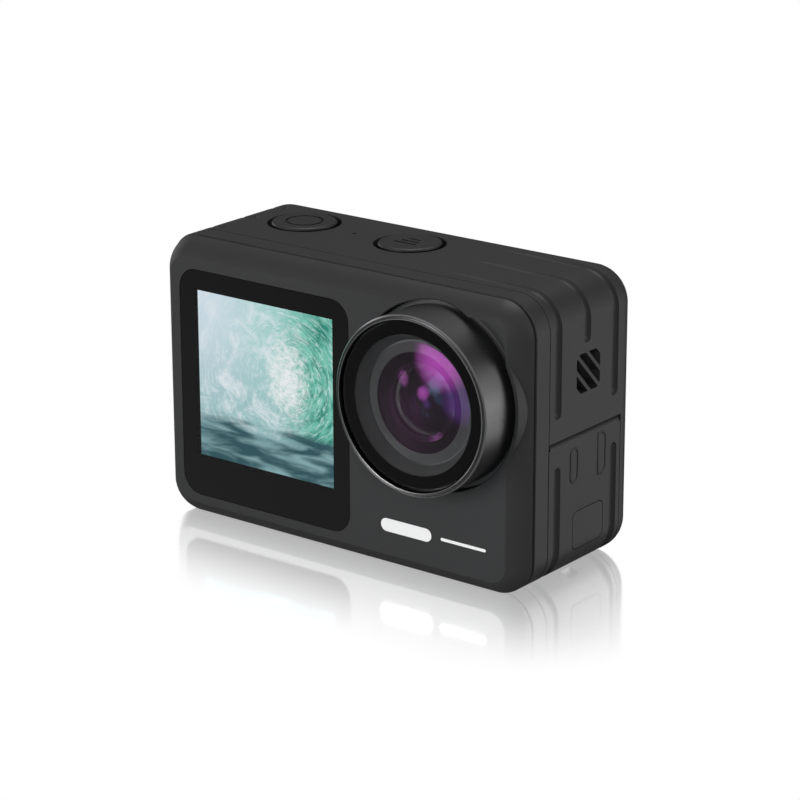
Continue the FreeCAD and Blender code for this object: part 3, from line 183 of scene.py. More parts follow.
# Divided by the air's level, so that the air comes out white in the polish.
floor_polish.inputs["Color"].default_value = (1 / AIR_LEVEL, 1 / AIR_LEVEL, 1 / AIR_LEVEL, 1)
floor_sheen = floor_nodes.new("ShaderNodeMixShader")
# The polish shows close to the camera body and is gone a couple of centimetres away.
POLISH = 0.62
POLISH_REACH = 0.024
# The lens stands out in front, so the body's own middle lies this far behind the box's.
LENS_SHIFT = 0.003
box_middle = (cad_low + cad_high) / 2
box_half = (cad_high - cad_low) / 2
floor_place = floor_nodes.new("ShaderNodeTexCoord")
from_middle = floor_nodes.new("ShaderNodeVectorMath")
from_middle.operation = "SUBTRACT"
from_middle.inputs[1].default_value = (box_middle.x, box_middle.y + LENS_SHIFT, 0)
floor_links.new(floor_place.outputs["Object"], from_middle.inputs[0])
both_ways = floor_nodes.new("ShaderNodeVectorMath")
both_ways.operation = "ABSOLUTE"
floor_links.new(from_middle.outputs["Vector"], both_ways.inputs[0])
past_edge = floor_nodes.new("ShaderNodeVectorMath")
past_edge.operation = "SUBTRACT"
past_edge.inputs[1].default_value = (box_half.x, box_half.y - LENS_SHIFT, 0)
floor_links.new(both_ways.outputs["Vector"], past_edge.inputs[0])
outside = floor_nodes.new("ShaderNodeVectorMath")
outside.operation = "MAXIMUM"
outside.inputs[1].default_value = (0, 0, 0)
floor_links.new(past_edge.outputs["Vector"], outside.inputs[0])
away = floor_nodes.new("ShaderNodeVectorMath")
away.operation = "LENGTH"
floor_links.new(outside.outputs["Vector"], away.inputs[0])
polish_fade = floor_nodes.new("ShaderNodeMapRange")
polish_fade.interpolation_type = "SMOOTHSTEP"
polish_fade.inputs["From Min"].default_value = POLISH_REACH
polish_fade.inputs["From Max"].default_value = 0.0
polish_fade.inputs["To Max"].default_value = POLISH
floor_links.new(away.outputs["Value"], polish_fade.inputs["Value"])
floor_links.new(polish_fade.outputs["Result"], floor_sheen.inputs["Fac"])
floor_links.new(floor_glow.outputs["Emission"], floor_sheen.inputs[1])
floor_links.new(floor_polish.outputs["BSDF"], floor_sheen.inputs[2])
floor_mix = floor_nodes.new("ShaderNodeMixShader")
floor_path = floor_nodes.new("ShaderNodeLightPath")
floor_links.new(floor_path.outputs["Is Camera Ray"], floor_mix.inputs["Fac"])
floor_links.new(floor_shader.outputs["BSDF"], floor_mix.inputs[1])
floor_links.new(floor_sheen.outputs["Shader"], floor_mix.inputs[2])
floor_links.new(floor_mix.outputs["Shader"], floor_nodes["Material Output"].inputs["Surface"])
studio_floor.visible_glossy = False
studio_floor.visible_transmission = False
floor_mesh.materials.append(floor_paint)

# ---------------------------------------------------------------- housing, cover, doors
# The housing, the front cover and both doors are moulded in glass-filled black plastic and
# sprayed with a soft-touch coat, so they show a fine even grain and a dull sheen.


def blank_material(name):
    """A material with a bare Principled shader; returns the material, its tree and the shader."""
    material = bpy.data.materials.new(name)
    material.use_nodes = True
    tree = material.node_tree
    return material, tree, tree.nodes["Principled BSDF"]


def dress(material, *names):
    """Put one material on every slot of the named CAD nodes."""
    for name in names:
        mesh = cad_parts[name].data
        mesh.materials.clear()
        mesh.materials.append(material)


# The colour follows the fine grain and, by this share, the broad patches.
PATCH_SHARE = 0.45


def build_grain_group():
    """Grain shared by moulded and printed surfaces: colour, roughness and height that vary."""
    group = bpy.data.node_groups.new("surface_grain", "ShaderNodeTree")
    face = group.interface
    for name, kind, value in (("Colour A", "NodeSocketColor", (0.03, 0.03, 0.03, 1)),
                              ("Colour B", "NodeSocketColor", (0.04, 0.04, 0.04, 1)),
                              ("Grain per metre", "NodeSocketFloat", 6000.0),
                              ("Patch per metre", "NodeSocketFloat", 60.0),
                              ("Roughness", "NodeSocketFloat", 0.5),
                              ("Roughness spread", "NodeSocketFloat", 0.08)):
        socket = face.new_socket(name, in_out="INPUT", socket_type=kind)
        socket.default_value = value
    face.new_socket("Colour", in_out="OUTPUT", socket_type="NodeSocketColor")
    face.new_socket("Roughness", in_out="OUTPUT", socket_type="NodeSocketFloat")
    face.new_socket("Height", in_out="OUTPUT", socket_type="NodeSocketFloat")
    nodes, links = group.nodes, group.links
    entry = nodes.new("NodeGroupInput")
    leave = nodes.new("NodeGroupOutput")
    place = nodes.new("ShaderNodeTexCoord")
    grain = nodes.new("ShaderNodeTexNoise")
    grain.inputs["Detail"].default_value = 3.0
    grain.inputs["Roughness"].default_value = 0.6
    patch = nodes.new("ShaderNodeTexNoise")
    patch.inputs["Detail"].default_value = 4.0
    links.new(place.outputs["Object"], grain.inputs["Vector"])
    links.new(place.outputs["Object"], patch.inputs["Vector"])
    links.new(entry.outputs["Grain per metre"], grain.inputs["Scale"])
    links.new(entry.outputs["Patch per metre"], patch.inputs["Scale"])
    tint = nodes.new("ShaderNodeMix")
    tint.data_type = "RGBA"
    blend = nodes.new("ShaderNodeMath")
    blend.operation = "MULTIPLY_ADD"
    blend.inputs[1].default_value = 1 - PATCH_SHARE
    links.new(grain.outputs["Fac"], blend.inputs[0])
    patch_part = nodes.new("ShaderNodeMath")
    patch_part.operation = "MULTIPLY"
    patch_part.inputs[1].default_value = PATCH_SHARE
    links.new(patch.outputs["Fac"], patch_part.inputs[0])
    links.new(patch_part.outputs["Value"], blend.inputs[2])
    links.new(blend.outputs["Value"], tint.inputs["Factor"])
    links.new(entry.outputs["Colour A"], tint.inputs["A"])
    links.new(entry.outputs["Colour B"], tint.inputs["B"])
    links.new(tint.outputs["Result"], leave.inputs["Colour"])
    centred = nodes.new("ShaderNodeMath")
    centred.operation = "SUBTRACT"
    centred.inputs[1].default_value = 0.5
    links.new(patch.outputs["Fac"], centred.inputs[0])
    rough = nodes.new("ShaderNodeMath")
    rough.operation = "MULTIPLY_ADD"
    links.new(centred.outputs["Value"], rough.inputs[0])
    links.new(entry.outputs["Roughness spread"], rough.inputs[1])
    links.new(entry.outputs["Roughness"], rough.inputs[2])
    links.new(rough.outputs["Value"], leave.inputs["Roughness"])
    links.new(grain.outputs["Fac"], leave.inputs["Height"])
    return group


surface_grain = build_grain_group()
GRAIN_DEPTH = 0.00002


def grained(name, colour_a, colour_b, roughness, spread=0.08, per_metre=6000.0, patches=60.0,
            bump=0.15, metallic=0.0, specular=0.5):
    """A material whose colour, roughness and bump come from the grain group."""
    material, tree, shader = blank_material(name)
    grain = tree.nodes.new("ShaderNodeGroup")
    grain.node_tree = surface_grain
    grain.inputs["Colour A"].default_value = (*colour_a, 1)
    grain.inputs["Colour B"].default_value = (*colour_b, 1)
    grain.inputs["Grain per metre"].default_value = per_metre
    grain.inputs["Patch per metre"].default_value = patches
    grain.inputs["Roughness"].default_value = roughness
    grain.inputs["Roughness spread"].default_value = spread
    tree.links.new(grain.outputs["Colour"], shader.inputs["Base Color"])
    tree.links.new(grain.outputs["Roughness"], shader.inputs["Roughness"])
    if bump:
        dent = tree.nodes.new("ShaderNodeBump")
        dent.inputs["Strength"].default_value = bump
        dent.inputs["Distance"].default_value = GRAIN_DEPTH
        tree.links.new(grain.outputs["Height"], dent.inputs["Height"])
        tree.links.new(dent.outputs["Normal"], shader.inputs["Normal"])
    shader.inputs["Metallic"].default_value = metallic
    shader.inputs["Specular IOR Level"].default_value = specular
    return material


soft_touch = grained("soft_touch_black", (0.026, 0.026, 0.0265), (0.033, 0.033, 0.034), 0.44,
                     specular=0.22)
dress(soft_touch, "main_housing", "port_door", "battery_door", "battery_door_latch",
      "port_door_release")


def math_node(tree, operation, *values):
    """One math node; numbers are set and sockets are linked."""
    node = tree.nodes.new("ShaderNodeMath")
    node.operation = operation
    for slot, value in zip(node.inputs, values):
        if isinstance(value, (int, float)):
            slot.default_value = value
        else:
            tree.links.new(value, slot)
    return node.outputs["Value"]


def mix_colour(tree, factor, first, second):
    """Mix two colours; each is a tuple or a socket."""
    node = tree.nodes.new("ShaderNodeMix")
    node.data_type = "RGBA"
    tree.links.new(factor, node.inputs["Factor"])
    for slot, value in ((node.inputs["A"], first), (node.inputs["B"], second)):
        if isinstance(value, tuple):
            slot.default_value = (*value, 1)
        else:
            tree.links.new(value, slot)
    return node.outputs["Result"]


def place_parts(tree):
    """The object's own X, Y and Z at the shaded point, as one split node."""
    place = tree.nodes.new("ShaderNodeTexCoord")
    parts = tree.nodes.new("ShaderNodeSeparateXYZ")
    tree.links.new(place.outputs["Object"], parts.inputs["Vector"])
    return parts.outputs


bezel_low, bezel_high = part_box("lens_bezel")
lens_axis = (bezel_low + bezel_high) / 2


def lens_radius(tree, parts):
    """Distance from the lens axis."""
    side = math_node(tree, "SUBTRACT", parts["X"], lens_axis.x)
    rise = math_node(tree, "SUBTRACT", parts["Z"], lens_axis.z)
    return math_node(tree, "SQRT", math_node(tree, "ADD", math_node(tree, "MULTIPLY", side, side),
                                             math_node(tree, "MULTIPLY", rise, rise)))


# The cover is the same coat, but everything of it within the lens hole's radius, the bore's wall
# included, is painted near black as shade in the gap round the barrel.
BORE_SHADE_RADIUS = 0.01338
cover_coat = grained("cover_soft_touch_shaded_bore", (0.026, 0.026, 0.0265), (0.033, 0.033, 0.034), 0.44,
                     specular=0.22)
cover_tree = cover_coat.node_tree
cover_shader = cover_tree.nodes["Principled BSDF"]
coat_colour = cover_shader.inputs["Base Color"].links[0].from_socket
# Painted shade: within this radius of the lens axis the coat's colour gives way to near black.
in_bore_shade = math_node(cover_tree, "LESS_THAN", lens_radius(cover_tree, place_parts(cover_tree)),
                    BORE_SHADE_RADIUS)
cover_tree.links.new(mix_colour(cover_tree, in_bore_shade, coat_colour, (0.004, 0.004, 0.004)),
                     cover_shader.inputs["Base Color"])
dress(cover_coat, "front_cover")

# ---------------------------------------------------------------- mark on the cover
# A plain white mark is screen-printed low on the cover, under the lens: a bold bar with
# round ends and a thin line after it. The ink stands a few hundredths of a millimetre proud.
INK = 0.00003
MARK_MIDDLE = 0.0064


def rounded_strip(name, low, high, middle, half_height):
    """A flat plate with round ends, standing upright on the cover's face."""
    mesh = bpy.data.meshes.new(name)
    plate = bmesh.new()
    corners = []
    for end, turn in ((high - half_height, -90), (low + half_height, 90)):
        for step in range(13):
            angle = math.radians(turn + 15 * step)
            corners.append(plate.verts.new((
                end + half_height * math.cos(angle), cover_face,
                middle + half_height * math.sin(angle))))
    face = plate.faces.new(corners)
    grown = bmesh.ops.extrude_face_region(plate, geom=[face])
    rim = [v for v in grown["geom"] if isinstance(v, bmesh.types.BMVert)]
    bmesh.ops.translate(plate, verts=rim, vec=(0, -INK, 0))
    bmesh.ops.recalc_face_normals(plate, faces=plate.faces)
    plate.to_mesh(mesh)
    plate.free()
    strip = bpy.data.objects.new(name, mesh)
    bpy.context.scene.collection.objects.link(strip)
    return strip


cover_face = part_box("front_cover")[0].y
white_ink = grained("white_ink", (0.80, 0.80, 0.80), (0.90, 0.90, 0.90), 0.5, per_metre=8000.0)
for name, low, high, half_height in (("print_bar", 0.0083, 0.0170, 0.00095),
                                     ("print_line", 0.0186, 0.0262, 0.00022)):
    strip = rounded_strip(name, low, high, MARK_MIDDLE, half_height)
    strip.data.materials.append(white_ink)
    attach(strip, "camera_body")

# ---------------------------------------------------------------- socket marks on the port door
# The shapes of the two sockets behind it are moulded on the door as thin raised outlines:
# a slot with round ends and a flat-sided one with cut corners, both standing upright.
door_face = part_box("port_door")[1].x
MARK_WIRE = 0.00026
MARK_SINK = 0.6 * MARK_WIRE
SLOT_MIDDLE, SLOT_RADIUS, SLOT_FOOT, SLOT_HEAD = 0.00155, 0.00085, 0.0149, 0.0180
slot_mark = [(SLOT_MIDDLE + SLOT_RADIUS * math.cos(math.radians(a)),
              (SLOT_HEAD if a < 180 else SLOT_FOOT) + SLOT_RADIUS * math.sin(math.radians(a)))
             for a in range(0, 361, 20)]
key_mark = [(0.0073, 0.0136), (0.0073, 0.0195), (0.0084, 0.0195), (0.0091, 0.0188),
            (0.0091, 0.0143), (0.0084, 0.0136)]
socket_mark_plastic = grained("door_mark_black", (0.005, 0.005, 0.005), (0.008, 0.008, 0.008), 0.5)
for name, outline in (("slot_mark", slot_mark), ("key_mark", key_mark)):
    wire = bpy.data.curves.new(name, "CURVE")
    wire.dimensions = "3D"
    wire.bevel_depth = MARK_WIRE
    wire.bevel_resolution = 2
    run = wire.splines.new("POLY")
    run.points.add(len(outline) - 1)
    for point, (y, z) in zip(run.points, outline):
        point.co = (door_face - MARK_SINK, y, z, 1)
    run.use_cyclic_u = True
    mark = bpy.data.objects.new(name, wire)
    bpy.context.scene.collection.objects.link(mark)
    wire.materials.append(socket_mark_plastic)
    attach(mark, "port_door_body")

# ---------------------------------------------------------------- seam gasket and seals
# The gasket in the seam, the door seals and the lens's rings are moulded in black silicone,
# duller and darker than the shells, and are held by being squeezed between them.
silicone = grained("black_silicone", (0.006, 0.006, 0.006), (0.010, 0.010, 0.010), 0.7,
                   per_metre=3000.0)
dress(silicone, "cover_gasket", "lens_glass_gasket", "lens_seal_ring", "port_door_seal",
      "battery_door_seal", "button_return_springs")

# ---------------------------------------------------------------- front display and glass
# A square colour panel under coated glass. The picture is a breaking wave: pale spray at the
# left, a green barrel at the right and dark water below.
panel_low, panel_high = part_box("front_display")
ACTIVE_SIDE = 0.0246
PANEL_EDGE = 0.0006
ACTIVE_LEFT = panel_low.x + PANEL_EDGE
ACTIVE_TOP = panel_high.z - PANEL_EDGE
PICTURE_GLOW = 0.92
EYE_ACROSS = 0.66


def ramp_node(tree, value, low, high):
    """0 to 1, with soft ends, as the value goes from low to high."""
    node = tree.nodes.new("ShaderNodeMapRange")
    node.interpolation_type = "SMOOTHSTEP"
    tree.links.new(value, node.inputs["Value"])
    node.inputs["From Min"].default_value = low
    node.inputs["From Max"].default_value = high
    return node.outputs["Result"]


def noise_node(tree, vector, scale, detail=3.0, roughness=0.5, distortion=0.0):
    """Noise at a place, between 0 and 1."""
    node = tree.nodes.new("ShaderNodeTexNoise")
    tree.links.new(vector, node.inputs["Vector"])
    node.inputs["Scale"].default_value = scale
    node.inputs["Detail"].default_value = detail
    node.inputs["Roughness"].default_value = roughness
    node.inputs["Distortion"].default_value = distortion
    return node.outputs["Fac"]


def vector_node(tree, x, y, z=0.0):
    """A vector made of numbers or sockets."""
    node = tree.nodes.new("ShaderNodeCombineXYZ")
    for slot, value in zip(node.inputs, (x, y, z)):
        if isinstance(value, (int, float)):
            slot.default_value = value
        else:
            tree.links.new(value, slot)
    return node.outputs["Vector"]


def build_wave_picture():
    """The lit panel: across and up run from 0 to 1 over the picture."""
    material, tree, shader = blank_material("wave_picture")
    parts = place_parts(tree)
    across = math_node(tree, "DIVIDE", math_node(tree, "SUBTRACT", parts["X"], ACTIVE_LEFT),
                       ACTIVE_SIDE)
    up = math_node(tree, "DIVIDE",
                   math_node(tree, "SUBTRACT", parts["Z"], ACTIVE_TOP - ACTIVE_SIDE), ACTIVE_SIDE)
    flat = vector_node(tree, across, up)

    # Arcs round the eye of the wave carry the streaks.
    eye_x = math_node(tree, "SUBTRACT", across, EYE_ACROSS)
    eye_y = math_node(tree, "SUBTRACT", up, 0.56)
    radius_squared = math_node(tree, "ADD", math_node(tree, "MULTIPLY", eye_x, eye_x),
                               math_node(tree, "MULTIPLY", eye_y, eye_y))
    radius = math_node(tree, "SQRT", radius_squared)
    angle = math_node(tree, "ARCTAN2", eye_y, eye_x)
    arc = vector_node(tree, math_node(tree, "MULTIPLY", radius, 16.0),
                      math_node(tree, "MULTIPLY", angle, 1.6))
    streak = noise_node(tree, arc, 1.6, 6.0, 0.65, 0.6)
    fine_arc = vector_node(tree, math_node(tree, "MULTIPLY", radius, 34.0),
                           math_node(tree, "MULTIPLY", angle, 2.4))
    arcs = noise_node(tree, fine_arc, 1.5, 8.0, 0.7, 1.2)

    # Pale sky and mist, with spray blown along the arcs.
    sky = mix_colour(tree, ramp_node(tree, across, 0.05, 0.75), (0.66, 0.78, 0.86),
                     (0.33, 0.66, 0.60))
    haze = mix_colour(tree, ramp_node(tree, up, 0.15, 0.95), (0.34, 0.56, 0.57), sky)
    cloud = noise_node(tree, flat, 6.5, 9.0, 0.68, 0.9)
    mist = mix_colour(tree, ramp_node(tree, cloud, 0.44, 0.70), haze, (0.80, 0.87, 0.91))
    spray = mix_colour(tree, ramp_node(tree, arcs, 0.50, 0.72), mist, (0.78, 0.88, 0.89))

    # The green inside of the wave, right of its eye, with a pale rim.
    green = mix_colour(tree, ramp_node(tree, streak, 0.35, 0.65), (0.015, 0.25, 0.18),
                       (0.20, 0.60, 0.48))
    rim = mix_colour(tree, ramp_node(tree, arcs, 0.48, 0.68), green, (0.62, 0.86, 0.82))
    barrel_edge = math_node(tree, "ADD", math_node(tree, "MULTIPLY", eye_x, 1.4),
                            math_node(tree, "MULTIPLY", streak, 0.35))
    barrel = mix_colour(tree, ramp_node(tree, barrel_edge, 0.02, 0.50), spray, rim)

    # Foam thrown up in the middle of the wave, broken up by its own drops.
    foam_x = math_node(tree, "DIVIDE", eye_x, 0.19)
    foam_y = math_node(tree, "DIVIDE", math_node(tree, "SUBTRACT", up, 0.58), 0.30)
    foam = math_node(tree, "ADD", math_node(tree, "MULTIPLY", foam_x, foam_x),
                     math_node(tree, "MULTIPLY", foam_y, foam_y))
    drops = noise_node(tree, flat, 22.0, 6.0, 0.75, 0.5)
    foam = math_node(tree, "SUBTRACT", math_node(tree, "MULTIPLY", drops, 2.6), foam)
    foam = math_node(tree, "ADD", foam, arcs)
    wave = mix_colour(tree, ramp_node(tree, foam, 0.9, 2.1), barrel, (0.90, 0.93, 0.93))

    # Dark water below, its swell drawn out sideways; the same swell bends the water line.
    stretched = vector_node(tree, math_node(tree, "MULTIPLY", across, 2.2),
                            math_node(tree, "MULTIPLY", up, 11.0))
    swell = noise_node(tree, stretched, 1.3, 3.0, 0.5, 0.5)
    water = mix_colour(tree, ramp_node(tree, swell, 0.38, 0.66), (0.025, 0.09, 0.11),
                       (0.24, 0.42, 0.44))
    lift = math_node(tree, "MULTIPLY", math_node(tree, "SUBTRACT", swell, 0.5), 0.16)
    line = math_node(tree, "ADD", up, lift)
    picture = mix_colour(tree, ramp_node(tree, line, 0.20, 0.29), water, wave)

    # Only the front face glows, and only inside the picture.
    inside = math_node(tree, "MULTIPLY", math_node(tree, "COMPARE", across, 0.5, 0.5),
                       math_node(tree, "COMPARE", up, 0.5, 0.5))
    facing = tree.nodes.new("ShaderNodeNewGeometry")
    sides = tree.nodes.new("ShaderNodeSeparateXYZ")
    tree.links.new(facing.outputs["Normal"], sides.inputs["Vector"])
    front = math_node(tree, "LESS_THAN", sides.outputs["Y"], -0.5)
    lit = math_node(tree, "MULTIPLY", inside, front)
    tree.links.new(mix_colour(tree, lit, (0.0, 0.0, 0.0), picture), shader.inputs["Emission Color"])
    shader.inputs["Emission Strength"].default_value = PICTURE_GLOW
    shader.inputs["Base Color"].default_value = (0.006, 0.006, 0.007, 1)
    shader.inputs["Roughness"].default_value = 0.25
    return material


dress(build_wave_picture(), "front_display")


def clear_glass(name, tint, ior=1.45, specular=0.5, specular_tint=(1, 1, 1)):
    """Polished glass: faint smears in the roughness, plain transmission."""
    material, tree, shader = blank_material(name)
    smear = tree.nodes.new("ShaderNodeTexNoise")
    place = tree.nodes.new("ShaderNodeTexCoord")
    tree.links.new(place.outputs["Object"], smear.inputs["Vector"])
    smear.inputs["Scale"].default_value = 180.0
    spread = tree.nodes.new("ShaderNodeMapRange")
    spread.inputs["From Min"].default_value = 0.35
    spread.inputs["From Max"].default_value = 0.75
    spread.inputs["To Min"].default_value = 0.0
    spread.inputs["To Max"].default_value = 0.03
    tree.links.new(smear.outputs["Fac"], spread.inputs["Value"])
    tree.links.new(spread.outputs["Result"], shader.inputs["Roughness"])
    shader.inputs["Base Color"].default_value = (*tint, 1)
    shader.inputs["Transmission Weight"].default_value = 1.0
    shader.inputs["IOR"].default_value = ior
    shader.inputs["Specular IOR Level"].default_value = specular
    shader.inputs["Specular Tint"].default_value = (*specular_tint, 1)
    return material, tree, shader


# The border of the glass is printed black from behind; only the picture window is left clear.
WINDOW_MARGIN = 0.0002
border_glass, border_tree, border_shader = clear_glass("screen_glass", (1, 1, 1), specular=0.3)
border_parts = place_parts(border_tree)
window = []
for axis, low in (("X", ACTIVE_LEFT), ("Z", ACTIVE_TOP - ACTIVE_SIDE)):
    from_centre = math_node(border_tree, "ABSOLUTE", math_node(
        border_tree, "SUBTRACT", border_parts[axis], low + ACTIVE_SIDE / 2))
    window.append(math_node(border_tree, "LESS_THAN", from_centre,
                            ACTIVE_SIDE / 2 + WINDOW_MARGIN))
clear_part = math_node(border_tree, "MULTIPLY", *window)
border_tree.links.new(mix_colour(border_tree, clear_part, (0.0, 0.0, 0.0), (0.97, 0.98, 0.99)),
                      border_shader.inputs["Base Color"])
dress(border_glass, "front_screen_glass")

# ---------------------------------------------------------------- rear glass, display films
# The rear display is switched off, so its glass is one smooth black sheet. The adhesive
# frames, the heat pad and the thin sheets inside are matt black film.
rear_glass = grained("rear_glass_black", (0.004, 0.004, 0.005), (0.006, 0.006, 0.007), 0.05,
                     spread=0.04, bump=0.0, specular=0.35)
dress(rear_glass, "rear_touch_glass")
black_film = grained("black_film", (0.004, 0.004, 0.004), (0.007, 0.007, 0.007), 0.6,
                     per_metre=2500.0)
dress(black_film, "front_screen_adhesive", "rear_screen_adhesive", "thermal_pad", "mic_membrane",
      "battery_pull_tab")
rear_panel = grained("rear_panel_black", (0.005, 0.005, 0.006), (0.008, 0.008, 0.010), 0.3,
                     bump=0.0)
dress(rear_panel, "rear_display")

# ---------------------------------------------------------------- lens bezel and rim
# Both are turned from aluminium and anodised black, and fine lathe rings run round them.
# Each has one band of radii painted bright as a highlight, for the light caught by an edge: the
# bezel's outer corner and the crown of the rim ring.
RING_DEPTH = 0.00001
BEZEL_HIGHLIGHT_BAND = (0.01243, 0.0128)
BEZEL_HIGHLIGHT_DEPTH = 0.0003
RIM_HIGHLIGHT_BAND = (0.01192, 0.01208)


def turned_metal(name, colour, roughness, rings_per_metre=9000.0, metallic=1.0, bump=0.08,
                 highlight_band=None, highlight_colour=(0.85, 0.85, 0.86), highlight_front=None):
    """Metal with fine rings about the lens axis; a band of radii may be painted bright as a
    highlight.
    """
    material, tree, shader = blank_material(name)
    parts = place_parts(tree)
    radius = lens_radius(tree, parts)
    rings = noise_node(tree, vector_node(tree, math_node(tree, "ADD", radius, parts["Y"]), 0.0),
                       rings_per_metre, 2.0)
    shade = mix_colour(tree, rings, tuple(c * 0.9 for c in colour), tuple(c * 1.1 for c in colour))
    # Painted highlight: inside the band the ringed colour is swapped for a bright one.
    if highlight_band:
        band = math_node(tree, "MULTIPLY", math_node(tree, "GREATER_THAN", radius, highlight_band[0]),
                         math_node(tree, "LESS_THAN", radius, highlight_band[1]))
        if highlight_front is not None:
            band = math_node(tree, "MULTIPLY", band,
                             math_node(tree, "LESS_THAN", parts["Y"], highlight_front))
        shade = mix_colour(tree, band, shade, highlight_colour)
    tree.links.new(shade, shader.inputs["Base Color"])
    rough = math_node(tree, "MULTIPLY_ADD", rings, 0.12, roughness - 0.06)
    tree.links.new(rough, shader.inputs["Roughness"])
    dent = tree.nodes.new("ShaderNodeBump")
    dent.inputs["Strength"].default_value = bump
    dent.inputs["Distance"].default_value = RING_DEPTH
    tree.links.new(rings, dent.inputs["Height"])
    tree.links.new(dent.outputs["Normal"], shader.inputs["Normal"])
    shader.inputs["Metallic"].default_value = metallic
    return material


dress(turned_metal("anodised_black", (0.12, 0.12, 0.122), 0.33, metallic=0.9,
                   highlight_band=BEZEL_HIGHLIGHT_BAND, highlight_front=bezel_low.y + BEZEL_HIGHLIGHT_DEPTH,
                   highlight_colour=(0.42, 0.42, 0.43)), "lens_bezel")
dress(turned_metal("rim_polish", (0.02, 0.02, 0.02), 0.25, highlight_band=RIM_HIGHLIGHT_BAND),
      "lens_trim_ring")

# ---------------------------------------------------------------- cover glass, mask, baffle
# A flat coated glass disc turns with the bezel and carries a printed black ring. Behind it a
# moulded grey cone with fine steps kills glare, and the holder that carries the lens is black.
dress(clear_glass("cover_disc", (0.98, 0.98, 0.985), ior=1.33, specular=0.12)[0],
      "lens_cover_glass")
dress(grained("printed_mask", (0.006, 0.006, 0.006), (0.009, 0.009, 0.009), 0.3, bump=0.0),
      "lens_glass_mask")
dress(turned_metal("baffle_black", (0.052, 0.052, 0.053), 0.5, 5000.0, 0.0, 0.4), "lens_baffle")
dress(turned_metal("barrel_black", (0.07, 0.07, 0.072), 0.42, 4000.0, 0.0, 0.3), "lens_holder")

# ---------------------------------------------------------------- lens elements
# Coated glass: each surface reflects a little coloured light, violet on the front element,
# blue and green further in. The barrel is black inside, with a grey seat at its front.
seat_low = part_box("lens_barrel")[0]
SEAT_SKIN = 0.0001
barrel_paint, barrel_tree, barrel_shader = blank_material("barrel_paint")
barrel_place = barrel_tree.nodes.new("ShaderNodeTexCoord")
barrel_parts = barrel_tree.nodes.new("ShaderNodeSeparateXYZ")
barrel_tree.links.new(barrel_place.outputs["Object"], barrel_parts.inputs["Vector"])
on_seat = math_node(barrel_tree, "LESS_THAN", barrel_parts.outputs["Y"],
                    seat_low.y + SEAT_SKIN)
barrel_speck = noise_node(barrel_tree, barrel_place.outputs["Object"], 3000.0)
seat_grey = mix_colour(barrel_tree, barrel_speck, (0.20, 0.20, 0.205), (0.24, 0.24, 0.245))
bore_black = mix_colour(barrel_tree, barrel_speck, (0.004, 0.004, 0.004), (0.005, 0.005, 0.005))
barrel_tree.links.new(mix_colour(barrel_tree, on_seat, bore_black, seat_grey),
                      barrel_shader.inputs["Base Color"])
barrel_shader.inputs["Roughness"].default_value = 0.5
dress(barrel_paint, "lens_barrel")
dress(clear_glass("front_element_glass", (0.72, 0.72, 0.72), ior=1.5, specular=0.2,
                  specular_tint=(1.0, 0.12, 1.0))[0], "lens_front_element")
dress(clear_glass("second_element_glass", (0.06, 0.06, 0.07), ior=1.5, specular=0.03,
                  specular_tint=(0.4, 0.5, 1.0))[0], "lens_second_element")
dress(clear_glass("rear_element_glass", (0.1, 0.12, 0.11), ior=1.5, specular=0.2,
                  specular_tint=(0.5, 1.0, 0.8))[0], "lens_rear_element", "infrared_filter")

# The front element's edge is painted grey where it lies on the barrel's seat: a thin ring,
# from the first depth in front of the seat to the second.
SEAT_INNER, SEAT_OUTER = 0.00695, 0.0084
PAINT_FRONT, PAINT_BACK = -0.00009, -0.00006
RING_STEPS = 96
seat_ring_mesh = bpy.data.meshes.new("element_edge_ring")
seat_ring_build = bmesh.new()
loops = []
for radius, depth in ((SEAT_INNER, PAINT_FRONT), (SEAT_OUTER, PAINT_FRONT),
                      (SEAT_OUTER, PAINT_BACK), (SEAT_INNER, PAINT_BACK)):
    loops.append([seat_ring_build.verts.new((
        lens_axis.x + radius * math.cos(math.tau * step / RING_STEPS), seat_low.y + depth,
        lens_axis.z + radius * math.sin(math.tau * step / RING_STEPS)))
        for step in range(RING_STEPS)])
for here, after in zip(loops, loops[1:] + loops[:1]):
    for step in range(RING_STEPS):
        seat_ring_build.faces.new((here[step], here[step - 1], after[step - 1], after[step]))
bmesh.ops.recalc_face_normals(seat_ring_build, faces=seat_ring_build.faces)
seat_ring_build.to_mesh(seat_ring_mesh)
seat_ring_build.free()
seat_ring = bpy.data.objects.new("element_edge_ring", seat_ring_mesh)
bpy.context.scene.collection.objects.link(seat_ring)
seat_ring_mesh.materials.append(grained("edge_paint", (0.17, 0.17, 0.173), (0.20, 0.20, 0.203), 0.6,
                                        bump=0.0))
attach(seat_ring, "camera_body")

# ---------------------------------------------------------------- buttons
# Both caps are moulded in black plastic with a satin skin, and pressed against silicone rings.
# The mark cut in each is darker, and the walls are painted darker as shade.
# A face is a wall below the first upward share of its normal, and level above the second.
WALL_LEAN, LEVEL_LEAN = 0.35, 0.98
MARK_CUT = 0.00008
cap_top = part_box("shutter_button")[1].z
cap_paint = grained("button_satin", (0.018, 0.018, 0.019), (0.024, 0.024, 0.025), 0.42,
                    specular=0.3)
cap_tree = cap_paint.node_tree
cap_shader = cap_tree.nodes["Principled BSDF"]
cap_colour = cap_shader.inputs["Base Color"].links[0].from_socket
cap_facing = cap_tree.nodes.new("ShaderNodeNewGeometry")
cap_sides = cap_tree.nodes.new("ShaderNodeSeparateXYZ")
cap_tree.links.new(cap_facing.outputs["True Normal"], cap_sides.inputs["Vector"])
